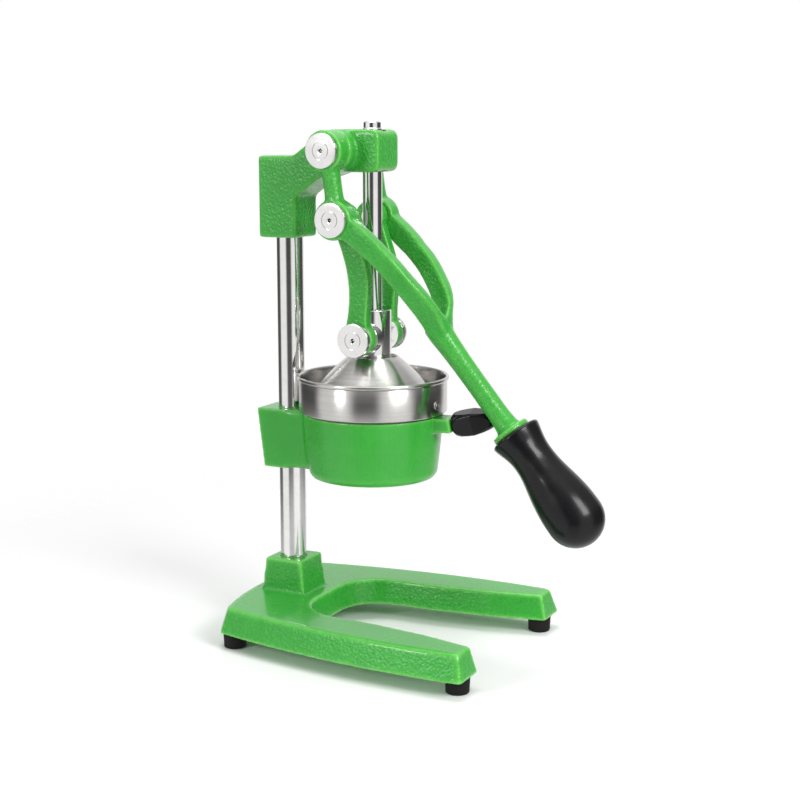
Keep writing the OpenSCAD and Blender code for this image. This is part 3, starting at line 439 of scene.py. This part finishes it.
# %% Pin caps
CAP_R, CAP_T, SPIGOT_R, SPIGOT_LEN = 14, 3.5, 3.5, 7
RING_OUT, RING_IN, RING_FLOOR = 7.3, 6.7, 2.6
PUNCH_R, PUNCH_TOP, PUNCH_SHADE_LOW = 1.8, 3.3, -0.5   # faces of the hole between these heights get painted shade
CAPS = {"pivot_cap": "stand", "link_pin_cap": "lever_arm", "ram_pin_cap": "ram"}
SIDES = {"left": -1, "right": 1}
cap_outline = mm([(0, -SPIGOT_LEN), (SPIGOT_R, -SPIGOT_LEN), (SPIGOT_R, 0), (CAP_R, 0), (CAP_R, 2.75),
                  (13.93, 2.92), (13.8, 3.04), (13.6, 3.1), (12.2, 3.19), (10.6, 3.27), (RING_OUT, 3.4),
                  (RING_OUT, RING_FLOOR), (RING_IN, RING_FLOOR), (RING_IN, 3.42), (4, 3.48), (2.1, CAP_T),
                  (1.9, 3.44), (PUNCH_R, PUNCH_TOP), (1.7, -5), (0, -5.2)])


def on_shaft(sign, x, centre):
    """Lays an upright piece along a cross shaft, with its top to the right or, for -1, to the left."""
    return Matrix.Translation((x, centre.y, centre.z)) @ Matrix.Rotation(sign*math.pi/2, 4, "Y")


def in_punch_shade(c):
    return c.xy.length < (PUNCH_R + 0.05)*MM and PUNCH_SHADE_LOW*MM < c.z < PUNCH_TOP*MM


first_cap = turned("cap_pattern", cap_outline, steps=96)
# the inside of the punched hole takes the dark finish, as painted shade
shade_inside(first_cap, in_punch_shade)
for kind, body in CAPS.items():
    for side, sign in SIDES.items():
        node = f"{kind}_{side}"
        low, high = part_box(node)
        face_x = (low.x if sign < 0 else high.x) - sign*CAP_T*MM
        cap = copy_of(first_cap, node + "_turned")
        place(cap, on_shaft(sign, face_x, middle(node)))
        finish(cap, body, "polished_steel", node)
bpy.data.objects.remove(first_cap)

# %% [markdown]
# The two washers under the lower caps stand a little inside them, which leaves a dark line between the
# two rims. A turned ring with a small bevel is enough, because only its rim shows.

# %% Washers
WASHER_R, WASHER_BORE, WASHER_T = 13.4, 5.6, 2.8
washer_outline = mm([(WASHER_BORE, 0), (WASHER_R, 0), (WASHER_R, WASHER_T), (WASHER_BORE, WASHER_T),
                     (WASHER_BORE, 0)])
for side, sign in SIDES.items():
    node = f"ram_pin_washer_{side}"
    low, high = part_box(node)
    washer = turned(node + "_turned", washer_outline, steps=72, soft=0.35*MM)
    place(washer, on_shaft(sign, high.x if sign < 0 else low.x, middle(node)))
    finish(washer, "ram", "polished_steel", node)

# %% [markdown]
# The ram rod is plain bar with a slimmer, chamfered top. It is turned like the caps, since a cylinder
# primitive would need the same steps cut into it afterwards.

# %% Ram rod
ROD_R, NECK_R, NECK_LEN, NECK_STEP = 8, 7.3, 5, 0.6
low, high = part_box("ram_rod")
rod_top = (high.z - low.z)/MM
rod_outline = [(0, 0), (ROD_R, 0), (ROD_R, rod_top - NECK_LEN - NECK_STEP), (NECK_R, rod_top - NECK_LEN),
               (NECK_R, rod_top - 0.7), (NECK_R - NECK_STEP, rod_top), (0, rod_top)]
rod = turned("ram_rod_turned", mm(rod_outline), steps=64)
place(rod, Matrix.Translation((ram_axis.x, ram_axis.y, low.z)))
finish(rod, "ram", "polished_steel", "ram_rod")

# %% [markdown]
# The ram's head is a short thick cylinder that a cross boss passes through, turned from one block. No
# single outline gives that, so two cylinders are bevelled at their rims and joined by a boolean.

# %% Ram head
BOSS_R, HEAD_RIM, BOSS_RIM = 14*MM, 0.9*MM, 0.5*MM
low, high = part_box("ram_head")
head_middle = (0, ram_axis.y, (low.z + high.z)/2)


def barrel(name, radius, length, centre, rim, turn=(0, 0, 0)):
    """A cylinder with rounded rims, upright unless turned."""
    bpy.ops.object.select_all(action="DESELECT")
    bpy.ops.mesh.primitive_cylinder_add(vertices=96, radius=radius, depth=length, location=centre,
                                        rotation=turn)
    made = take(bpy.context.object)
    made.name = name
    bpy.ops.object.transform_apply(location=True, rotation=True, scale=True)
    modify(made, "BEVEL", width=rim, segments=3, limit_method="ANGLE", angle_limit=math.radians(50))
    return made


ram_head = barrel("ram_head_turned", (high.y - low.y)/2, high.z - low.z, head_middle, HEAD_RIM)
boss = barrel("cross_boss", BOSS_R, high.x - low.x, (0, ram_pin.y, ram_pin.z), BOSS_RIM,
              turn=(0, math.pi/2, 0))
modify(ram_head, "BOOLEAN", operation="UNION", object=boss, solver="EXACT")
bpy.data.objects.remove(boss)
finish(ram_head, "ram", "polished_steel", "ram_head")

# %% [markdown]
# The cone is spun from stainless sheet over a form. It has a flat top and a shoulder that turns down to
# the edge. Only a few points are given on each side of the sheet, and `eased` bends a smooth line
# through them, as the sheet would bend.

# %% Cone
low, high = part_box("press_dome")
height = (high.z - low.z)/MM
top = [(0, height), (17.5, height)]
outside = eased([(20.4, height), (23.6, height - 2.4), (30.2, height - 8.3), (40.6, height - 18.6),
                 (47, height - 25.5), (49.8, height - 31.2), (50.5, height - 35), (50.5, 0.4)], steps=4)
inside = eased([(48.5, 0.2), (48.5, height - 35), (47.8, height - 31.8), (45.5, height - 26.8),
                (39.2, height - 20), (28.9, height - 9.9), (20, height - 2.4), (18.6, height - 2)], steps=4)
cone_outline = top + outside + [(49.5, 0)] + inside + [(0, height - 2)]
cone = turned("press_cone", mm(cone_outline), steps=128)
place(cone, Matrix.Translation((0, ram_axis.y, low.z)))
finish(cone, "ram", "stainless_steel", "press_dome", angle=50)

# %% [markdown]
# The cup is spun too, and its lip is rolled outwards into a bead that stiffens the thin edge. The bead is
# an oval arc of the outline. Under the cup the wall steps in, and the faces of that narrow gap get the dark
# finish as painted shade, which draws a dark line over the holder.

# %% Cup
CUP_R, RING_LEN = 62, 8                      # the wall, and the ring below that centres the cup
BEAD_ACROSS, BEAD_UP, BEAD_IN = 1.6, 1.8, 0.1
CUP_FLOOR, FOOT_INSIDE, FOOT_ROUND = 1.5, 59, 1.5
PAINTED_SHADE_FROM, PAINTED_SHADE_TOP = 58, 1.35
low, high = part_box("cup")
rim = (high.z - low.z)/MM - RING_LEN
centring = [(41, 0), (52.2, 0), (52.2, -RING_LEN), (53.7, -RING_LEN), (53.7, 0)]
foot = [(58.6, 0), (58.9, 1.3), (61, 1.4), (61.7, 1.8), (CUP_R, 2.6), (CUP_R, rim - 4.4)]
bead = arc((CUP_R - BEAD_IN, rim - BEAD_UP), BEAD_ACROSS, BEAD_UP, -115, 90, 10)
wall = [(61.1, rim - 0.5), (60.6, rim - 1.6), (60.5, rim - 4)]
inner_foot = arc((FOOT_INSIDE, CUP_FLOOR + FOOT_ROUND), FOOT_ROUND, FOOT_ROUND, 0, -90, 5)
cup_outline = centring + foot + bead + wall + inner_foot + [(41, CUP_FLOOR), (41, 0)]
cup = turned("cup_spun", mm(cup_outline), steps=160)
# the faces of the gap under the cup get the dark finish, as painted shade
shade_inside(cup, lambda c: c.xy.length > PAINTED_SHADE_FROM*MM and c.z < PAINTED_SHADE_TOP*MM)
place(cup, Matrix.Translation((0, ram_axis.y, low.z + RING_LEN*MM)))
finish(cup, "stand", "stainless_steel", "cup", angle=45)

# %% [markdown]
# The strainer is a slotted dome on a flange. Cutting sixteen slots out of a thick shell with booleans
# would leave rough edges, so its skin is turned as one sheet, a few faces are taken out for each slot, and
# only then does it get thickness.

# %% Strainer
SLOTS, SKIN_STEPS = 16, 192
SLOT_LOW, SLOT_HIGH = 5*MM, 27*MM
DOME_R, DOME_SUNK, DOME_FROM = 44, 7.5, 9.6   # the flange cuts the ball at this angle, in degrees
SLOT_TURN = 360/SLOTS
flange = [(54, 0.6), (48, 0.6), (45, 0.7)]
strainer_outline = flange + arc((0, -DOME_SUNK), DOME_R, DOME_R, DOME_FROM, 90, 26)
strainer = turned("strainer_pressed", mm(strainer_outline), steps=SKIN_STEPS)
bpy.ops.object.mode_set(mode="EDIT")
bpy.ops.mesh.select_all(action="DESELECT")
bpy.ops.mesh.select_mode(type="FACE")
bpy.ops.object.mode_set(mode="OBJECT")
for face in strainer.data.polygons:
    turn = math.degrees(math.atan2(face.center.y, face.center.x)) % SLOT_TURN
    off_middle = min(turn, SLOT_TURN - turn)
    face.select = off_middle < 360/SKIN_STEPS and SLOT_LOW < face.center.z < SLOT_HIGH
bpy.ops.object.mode_set(mode="EDIT")
bpy.ops.mesh.delete(type="FACE")
bpy.ops.object.mode_set(mode="OBJECT")
modify(strainer, "SOLIDIFY", thickness=1.2*MM, offset=-1)
place(strainer, Matrix.Translation((0, ram_axis.y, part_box("strainer")[0].z)))
finish(strainer, "stand", "stainless_steel", "strainer")

# %% [markdown]
# A small rivet is set in the cup's wall near the knob. Its head is a flat ring and a low dome with a groove
# between them. The groove is a piece of its own, so that it can have its own dark finish, which is painted
# shade.

# %% Rivet
RIVET_R, GROOVE_OUT, GROOVE_IN = 3.6, 3, 1.8
rivet_outline = mm([(0, -2), (3.3, -2), (RIVET_R, -0.6), (RIVET_R, 0.3), (3.45, 0.6), (3.1, 0.6),
                    (GROOVE_OUT, 0.4), (GROOVE_OUT, -0.9), (GROOVE_IN, -0.9), (GROOVE_IN, 0.35), (1.6, 0.55),
                    (1, 0.75), (0, 0.8)])
groove_outline = mm([(GROOVE_IN, -0.7), (GROOVE_OUT, -0.7), (GROOVE_OUT, 0.3), (GROOVE_IN, 0.3),
                     (GROOVE_IN, -0.7)])
centre = middle("cup_rivet")
rivet = turned("cup_rivet_head", rivet_outline, steps=64)
groove_shade_ring = turned("cup_rivet_groove_shade", groove_outline, steps=64)
out = Vector((centre.x, centre.y - ram_axis.y, 0)).normalized()
rivet_frame = (Matrix.Translation(Vector((0, ram_axis.y, centre.z)) + out*CUP_R*MM)
               @ out.to_track_quat("Z", "Y").to_matrix().to_4x4())
finish(place(rivet, rivet_frame), "stand", "stainless_steel", "cup_rivet")
# the ring in the groove takes the dark finish, as painted shade
finish(place(groove_shade_ring, rivet_frame), "stand", "dark_steel", "cup_rivet")

# %% [markdown]
# Four moulded rubber feet, a little narrower at the sole, with a sunk hole for their screw. One is turned
# and copied to the place of each solid.

# %% Feet
FOOT_H, SCREW_R, SINK_R, SINK_TOP = 12.7, 2.6, 4.9, 7
foot_outline = mm([(SCREW_R, SINK_TOP), (SINK_R, SINK_TOP), (SINK_R, 0), (8.7, 0), (9.4, 0.7), (9.9, 11.2),
                   (10.1, FOOT_H), (SCREW_R, FOOT_H), (SCREW_R, SINK_TOP)])
first_foot = turned("foot_pattern", foot_outline, steps=56, soft=0.35*MM)
for node in ("foot_front_left", "foot_front_right", "foot_rear_left", "foot_rear_right"):
    foot_piece = copy_of(first_foot, node + "_moulded")
    centre = middle(node)
    place(foot_piece, Matrix.Translation((centre.x, centre.y, 0)))
    finish(foot_piece, "stand", "black_rubber", node)
bpy.data.objects.remove(first_foot)

# %% [markdown]
# A moulded grip isn't quite round: it has dents and ridges for the fingers. Sculpting them needs a mouse,
# so a helper moves a few corners instead and lets the mesh around them follow less and less.

# %% Pressing a mesh


def press(piece, chosen, move, reach):
    """Moves the chosen corners of a mesh, and what is near follows less and less."""
    take(piece)
    bpy.ops.object.mode_set(mode="EDIT")
    bpy.ops.mesh.select_mode(type="VERT")
    bpy.ops.mesh.select_all(action="DESELECT")
    bpy.ops.object.mode_set(mode="OBJECT")
    for corner in piece.data.vertices:
        corner.select = chosen(corner.co)
    bpy.ops.object.mode_set(mode="EDIT")
    bpy.ops.transform.translate(value=move, use_proportional_edit=True, proportional_edit_falloff="SMOOTH",
                                proportional_size=reach)
    bpy.ops.object.mode_set(mode="OBJECT")


def near(x, y, z, size):
    """Chooses the corners within size of a place, all in millimetres."""
    return lambda co: (co - Vector((x, y, z))*MM).length < size*MM

# %% [markdown]
# The grip is moulded to a hand: a flared lip, a slim neck and a heavy round end. It is spun first, then
# the side where the fingers close is pressed in and two soft ridges are drawn out beside it, with a
# proportional move that fades into the faces around.

# %% Grip
GRIP_AT, GRIP_END, GRIP_RISE = 219.5, 303.0, 1.6   # along the lever from its link pin, and over that line
END_R = 23.9
RIDGE_PLACES = ((20, 17), (34, 17), (48, 18))      # height on the grip and radius there
RIDGE_SIDE, RIDGE_BACK = 0.93, 0.36                # a ridge's direction, as shares of that radius
grip_len = GRIP_END - GRIP_AT
lip = [(0, 0), (13, 0), (18.4, 0.2), (19.9, 0.9), (21, 1.9)]
body_line = eased([(21.1, 3.0), (20.2, 7.4), (18.4, 15), (17.35, 23.4), (17.8, 35), (19.5, 46), (21.6, 56.8),
                   (23.45, 70.2), (END_R, grip_len)], steps=3)
end_line = arc((0, grip_len), END_R, END_R, 0, 90, 12)[1:-1]
grip = turned("grip_moulded", mm(lip + body_line + end_line + [(0, grip_len + END_R)]), steps=80)
press(grip, near(0, -18, 26, size=5), move=(0, 1.3*MM, 0), reach=24*MM)
for sign in SIDES.values():
    for z, r in RIDGE_PLACES:
        ridge = near(sign*r*RIDGE_SIDE, r*RIDGE_BACK, z, size=3.2)
        press(grip, ridge, move=(sign*0.7*MM, 0.25*MM, 0), reach=9*MM)
modify(grip, "SUBSURF", levels=1, render_levels=1)
grip_place = Matrix.Translation((0, -GRIP_AT*MM, GRIP_RISE*MM))
place(grip, lever_frame @ grip_place @ Matrix.Rotation(math.pi/2, 4, "X"))
finish(grip, "lever_arm", "black_plastic", "grip", angle=50)

# %% [markdown]
# The holder's knob is a short moulded handle with four flats. The flats are true in its solid, so it is
# made as the castings are, with much finer faces and only just softened edges.

# %% Knob
casting("holder_knob", "stand", grain=0.4*MM, rounds=6, slot="black_plastic")

# %% [markdown]
# Finishes
# A finish is made of effects that several materials share. Each effect is a node group with named
# inputs, built once, so that every material can place it with values of its own. The first helper opens
# a group, and the second adds noise in the piece's own coordinates, which stays put when the piece moves.

# %% Effect helpers


def group(name, inputs, outputs):
    """A new node group, with the sockets that it is given and those that it wants filled."""
    made = bpy.data.node_groups.new(name, "ShaderNodeTree")
    for label, value in inputs:
        socket = made.interface.new_socket(name=label, in_out="INPUT", socket_type="NodeSocketFloat")
        socket.default_value = value
    for label in outputs:
        made.interface.new_socket(name=label, in_out="OUTPUT", socket_type="NodeSocketFloat")
    print("effect", name)
    return made, made.nodes.new("NodeGroupInput").outputs, made.nodes.new("NodeGroupOutput").inputs


def noise(tree, coords, scale, **settings):
    spot = coords.outputs["Object"]
    return add(tree, "ShaderNodeTexNoise", Vector=spot, Scale=scale, **settings).outputs["Fac"]

# %% [markdown]
# `lumpy` is the uneven skin of a sand casting that shows through paint. Soft cells give the grains and a
# ripple joins them. Its second output marks the low places of the ripple, where the enamel paints shade.
# Faces that point up are smoother, because there the paint could settle before it dried.

# %% Lumpy skin
lumpy, given, wanted = group("lumpy_skin", [("Lumps per metre", 420.0), ("Top smoothness", 0.7)],
                             ["Height", "Hollow shade"])
CELL_DEPTH = 1.1   # beside 1 for the ripple
coords = add(lumpy, "ShaderNodeTexCoord")
cells = add(lumpy, "ShaderNodeTexVoronoi", Vector=coords.outputs["Object"], Scale=given["Lumps per metre"])
cells.feature = "SMOOTH_F1"
cells.inputs["Smoothness"].default_value = 0.6
ripple = noise(lumpy, coords, given["Lumps per metre"], Detail=3.0, Roughness=0.55)
up = add(lumpy, "ShaderNodeSeparateXYZ", Vector=coords.outputs["Normal"]).outputs["Z"]
facing_up = maths(lumpy, "POWER", maths(lumpy, "MAXIMUM", up, 0.0), 2.0)
rough_share = maths(lumpy, "SUBTRACT", 1.0, maths(lumpy, "MULTIPLY", facing_up, given["Top smoothness"]))
both = maths(lumpy, "MULTIPLY_ADD", cells.outputs["Distance"], CELL_DEPTH, ripple)
# the low places of the ripple, which the enamel darkens as painted shade
hollow_shade = add(lumpy, "ShaderNodeMapRange", Value=ripple, From_Min=0.58, From_Max=0.36).outputs[0]
lumpy.links.new(maths(lumpy, "MULTIPLY", both, rough_share), wanted["Height"])
lumpy.links.new(maths(lumpy, "MULTIPLY", hollow_shade, rough_share), wanted["Hollow shade"])

# %% [markdown]
# `wear_and_edge_highlight` finds convex edges, where paint is thin and looks lighter, and the same light
# green is also a painted highlight along the rounded edges. The shader measures by itself how far a corner
# stands out, and noise breaks the line up, because wear is never even.

# %% Worn edges
wear_and_edge_highlight, given, wanted = group("wear_and_edge_highlight", [("Reach", 0.06), ("Breakup per metre", 160.0)], ["Mask"])
LEVEL, LEAST_WEAR_AND_HIGHLIGHT = 0.5, 0.35   # flat face's pointiness; wear and painted highlight where the breakup is least
coords = add(wear_and_edge_highlight, "ShaderNodeTexCoord")
sharpness = add(wear_and_edge_highlight, "ShaderNodeNewGeometry").outputs["Pointiness"]
breakup = noise(wear_and_edge_highlight, coords, given["Breakup per metre"], Detail=2.0)
over_flat = maths(wear_and_edge_highlight, "DIVIDE", maths(wear_and_edge_highlight, "SUBTRACT", sharpness, LEVEL), given["Reach"])
uneven = maths(wear_and_edge_highlight, "MULTIPLY", over_flat, maths(wear_and_edge_highlight, "ADD", breakup, LEAST_WEAR_AND_HIGHLIGHT))
mask = maths(wear_and_edge_highlight, "MINIMUM", 1.0, maths(wear_and_edge_highlight, "MAXIMUM", 0.0, uneven))
wear_and_edge_highlight.links.new(mask, wanted["Mask"])

# %% [markdown]
# `handled` is the slow change in gloss that fingers and cloths leave. It gives out its patches too, so
# that a tone can follow them.

# %% Handled gloss
handled, given, wanted = group("handled", [("Patches per metre", 30.0), ("Least", 0.2), ("Most", 0.3)],
                               ["Roughness", "Patches"])
coords = add(handled, "ShaderNodeTexCoord")
patches = noise(handled, coords, given["Patches per metre"], Detail=5.0, Roughness=0.6)
spread = maths(handled, "MULTIPLY", patches, maths(handled, "SUBTRACT", given["Most"], given["Least"]))
handled.links.new(maths(handled, "ADD", spread, given["Least"]), wanted["Roughness"])
handled.links.new(patches, wanted["Patches"])

# %% [markdown]
# Sheet metal that was spun and brushed has fine rings round its axis. They spread a highlight up and
# down but not sideways, which is why such a cup shows upright bands of light. The group draws rings by
# height and radius about the ram's axis.

# %% Spun rings
spun, given, wanted = group("spun_rings", [("Rings per metre", 2600.0), ("Axis behind", ram_axis.y)],
                            ["Height", "Tone"])
BROAD_SHARE, BROAD_TONE = 0.12, 0.6   # scale of the broad rings, and their part of the tone
ALONG_RING = 0.01                     # lets a ring change slowly along its way round
coords = add(spun, "ShaderNodeTexCoord")
xyz = add(spun, "ShaderNodeSeparateXYZ", Vector=coords.outputs["Object"]).outputs
behind = maths(spun, "SUBTRACT", xyz["Y"], given["Axis behind"])
squares = maths(spun, "MULTIPLY_ADD", behind, behind, maths(spun, "MULTIPLY", xyz["X"], xyz["X"]))
radius = maths(spun, "SQRT", squares)
slow_change = maths(spun, "MULTIPLY", behind, ALONG_RING)
around = add(spun, "ShaderNodeCombineXYZ", X=radius, Y=slow_change, Z=xyz["Z"]).outputs[0]
fine = add(spun, "ShaderNodeTexNoise", Vector=around, Scale=given["Rings per metre"], Detail=2.0,
           Roughness=0.6).outputs["Fac"]
broad_scale = maths(spun, "MULTIPLY", given["Rings per metre"], BROAD_SHARE)
broad = add(spun, "ShaderNodeTexNoise", Vector=around, Scale=broad_scale, Detail=3.0).outputs["Fac"]
tone = maths(spun, "MULTIPLY_ADD", broad, BROAD_TONE, maths(spun, "MULTIPLY", fine, 1 - BROAD_TONE))
spun.links.new(fine, wanted["Height"])
spun.links.new(tone, wanted["Tone"])

# %% [markdown]
# Each material below is a Principled shader that the groups feed. `touched` starts one: what never
# changes over the surface is written straight on the shader, and the gloss changes a little from place to
# place. `colour` moves between two tones, and `bump` raises the surface.

# %% Material helpers
finishes = {}


def use(tree, effect, **sockets):
    """Places a shared effect in a material, with its own values."""
    made = tree.nodes.new("ShaderNodeGroup")
    made.node_tree = effect
    for name, value in sockets.items():
        made.inputs[name.replace("_", " ")].default_value = value
    return made.outputs


def touched(name, patches, least, most, **fixed):
    """A new finish: patches per metre, its least and most roughness, and values for the shader."""
    made = finishes[name] = bpy.data.materials.new(name)
    made.use_nodes = True
    tree = made.node_tree
    shader = tree.nodes["Principled BSDF"].inputs
    for label, value in fixed.items():
        shader[label.replace("_", " ")].default_value = value
    marks = use(tree, handled, Patches_per_metre=patches, Least=least, Most=most)
    tree.links.new(marks["Roughness"], shader["Roughness"])
    print("finish", name)
    return tree, shader, marks


def mix(tree, share, first, second):
    """Mixes two colours, each given as red, green and blue or as another node's output."""
    made = tree.nodes.new("ShaderNodeMix")
    made.data_type = "RGBA"
    colours = [v if isinstance(v, bpy.types.NodeSocket) else (*v, 1) for v in (first, second)]
    for label, value in zip(("Factor", "A", "B"), (share, *colours)):
        feed(tree, [s for s in made.inputs if s.name == label and s.enabled][0], value)
    return [s for s in made.outputs if s.enabled][0]


def colour(tree, shader, share, first, second):
    tree.links.new(mix(tree, share, first, second), shader["Base Color"])


def bump(tree, shader, height, strength, depth):
    made = add(tree, "ShaderNodeBump", Height=height, Strength=strength, Distance=depth)
    tree.links.new(made.outputs[0], shader["Normal"])

# %% [markdown]
# The enamel is thick on the holder, which was sprayed smooth, and thin on the other castings, where the
# sand's grain comes through as glints. Both are the same paint, so one function makes the two.

# %% Green enamel
DEEP_GREEN, FRESH_GREEN = (0.026, 0.30, 0.030), (0.048, 0.43, 0.046)
# the hollow green is painted shade in the hollows of the cast skin
HOLLOW_SHADE_GREEN, WEAR_AND_HIGHLIGHT_GREEN = (0.010, 0.13, 0.014), (0.24, 0.76, 0.15)
HOLLOW_SHADE_SEEN, WEAR_AND_HIGHLIGHT_SEEN, GRAIN_STRENGTH = 0.22, 0.6, 0.46
THIN_GRAIN, THICK_GRAIN = 1.0, 0.12


def enamel(name, grain):
    tree, shader, marks = touched(name, patches=22.0, least=0.18, most=0.36, Specular_IOR_Level=0.3,
                                  Coat_Weight=0.25, Coat_Roughness=0.06)
    skin = use(tree, lumpy, Lumps_per_metre=420.0, Top_smoothness=0.93)
    # light green on convex edges: wear of the thin paint, together with a painted highlight
    wear_and_highlight = maths(tree, "MULTIPLY", use(tree, wear_and_edge_highlight, Reach=0.04)["Mask"], WEAR_AND_HIGHLIGHT_SEEN)
    tone = mix(tree, marks["Patches"], DEEP_GREEN, FRESH_GREEN)
    # painted shade: the hollows of the skin are mixed towards a darker green
    tone = mix(tree, maths(tree, "MULTIPLY", skin["Hollow shade"], HOLLOW_SHADE_SEEN*grain), tone, HOLLOW_SHADE_GREEN)
    colour(tree, shader, wear_and_highlight, tone, WEAR_AND_HIGHLIGHT_GREEN)
    bump(tree, shader, skin["Height"], strength=GRAIN_STRENGTH*grain, depth=0.8*MM)


enamel("green_enamel", THIN_GRAIN)
enamel("green_enamel_thick", THICK_GRAIN)

# %% [markdown]
# Column, ram and caps are chromed. Chrome has hardly a colour of its own, so small changes in gloss, as
# wiping leaves them, are what makes it look handled.

# %% Chrome
tree, shader, marks = touched("polished_steel", patches=120.0, least=0.04, most=0.17, Metallic=1.0)
colour(tree, shader, marks["Patches"], (0.70, 0.69, 0.68), (0.86, 0.86, 0.85))
bump(tree, shader, marks["Patches"], strength=0.03, depth=0.1*MM)

# %% [markdown]
# Cup, cone and strainer are brushed stainless sheet. The spun rings give tone and bump, and the shader's
# own anisotropy stretches the highlights across them.

# %% Brushed stainless
tree, shader, marks = touched("stainless_steel", patches=45.0, least=0.2, most=0.3, Metallic=1.0,
                              Anisotropic=0.85, Anisotropic_Rotation=0.25)
rings = use(tree, spun)
colour(tree, shader, rings["Tone"], (0.40, 0.385, 0.37), (0.68, 0.665, 0.65))
bump(tree, shader, rings["Height"], strength=0.2, depth=0.08*MM)

# %% [markdown]
# Grip and knob are hard black plastic that hands have polished unevenly, and the feet are dull rubber
# with dust in its pores. Both are nearly black, so their gloss tells them apart.

# %% Black plastic and rubber
tree, shader, marks = touched("black_plastic", patches=55.0, least=0.12, most=0.31, Specular_IOR_Level=0.25)
moulded = use(tree, lumpy, Lumps_per_metre=700.0, Top_smoothness=0.0)
colour(tree, shader, marks["Patches"], (0.004, 0.004, 0.005), (0.010, 0.010, 0.011))
bump(tree, shader, moulded["Height"], strength=0.08, depth=0.1*MM)

tree, shader, marks = touched("black_rubber", patches=140.0, least=0.5, most=0.8, Specular_IOR_Level=0.15)
colour(tree, shader, marks["Patches"], (0.006, 0.006, 0.006), (0.018, 0.018, 0.017))
bump(tree, shader, marks["Patches"], strength=0.3, depth=0.1*MM)

# %% [markdown]
# Screws, shafts, bushes and the shaded gaps hardly show. Their metals differ only in two tones and two
# values of roughness, so one loop makes all three.

# %% Plain steel, dark steel and bronze
PLAIN_METALS = {"plain_steel": ((0.42, 0.42, 0.43), (0.62, 0.62, 0.62), 0.25, 0.4),
                "dark_steel": ((0.05, 0.05, 0.055), (0.11, 0.11, 0.115), 0.3, 0.5),
                "bronze": ((0.42, 0.27, 0.11), (0.62, 0.43, 0.20), 0.3, 0.45)}
for name, (dull, bright, least, most) in PLAIN_METALS.items():
    tree, shader, marks = touched(name, patches=300.0, least=least, most=most, Metallic=1.0)
    colour(tree, shader, marks["Patches"], dull, bright)
    bump(tree, shader, marks["Patches"], strength=0.25, depth=0.1*MM)

# %% [markdown]
# The record says which finish every node has. New pieces were given theirs when they were finished, so
# one loop dresses them all. The holder gets the thick enamel, and a piece with two finishes has the dark
# one second, which paints shade into its gaps and holes.

# %% Dressing
for entry in frame["record"]["subparts"]:
    solid = nodes[entry["node"]]
    solid.data.materials.clear()
    solid.data.materials.append(finishes[entry["material_slot"]])
for piece in made_pieces:
    outer = finishes["green_enamel_thick" if piece == holder else piece["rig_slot"]]
    if len(piece.data.materials) == 2:
        piece.data.materials[0] = outer
        piece.data.materials[1] = finishes["dark_steel"]
    else:
        piece.data.materials.clear()
        piece.data.materials.append(outer)
print(len(made_pieces), "pieces made,", len(nodes), "solids loaded")

# %% [markdown]
# The last cell lets go of every piece and prints how many triangles the made pieces have.

# %% Sizes
bpy.ops.object.select_all(action="DESELECT")
print("triangles:", sum(len(p.vertices) - 2 for o in made_pieces for p in o.data.polygons))
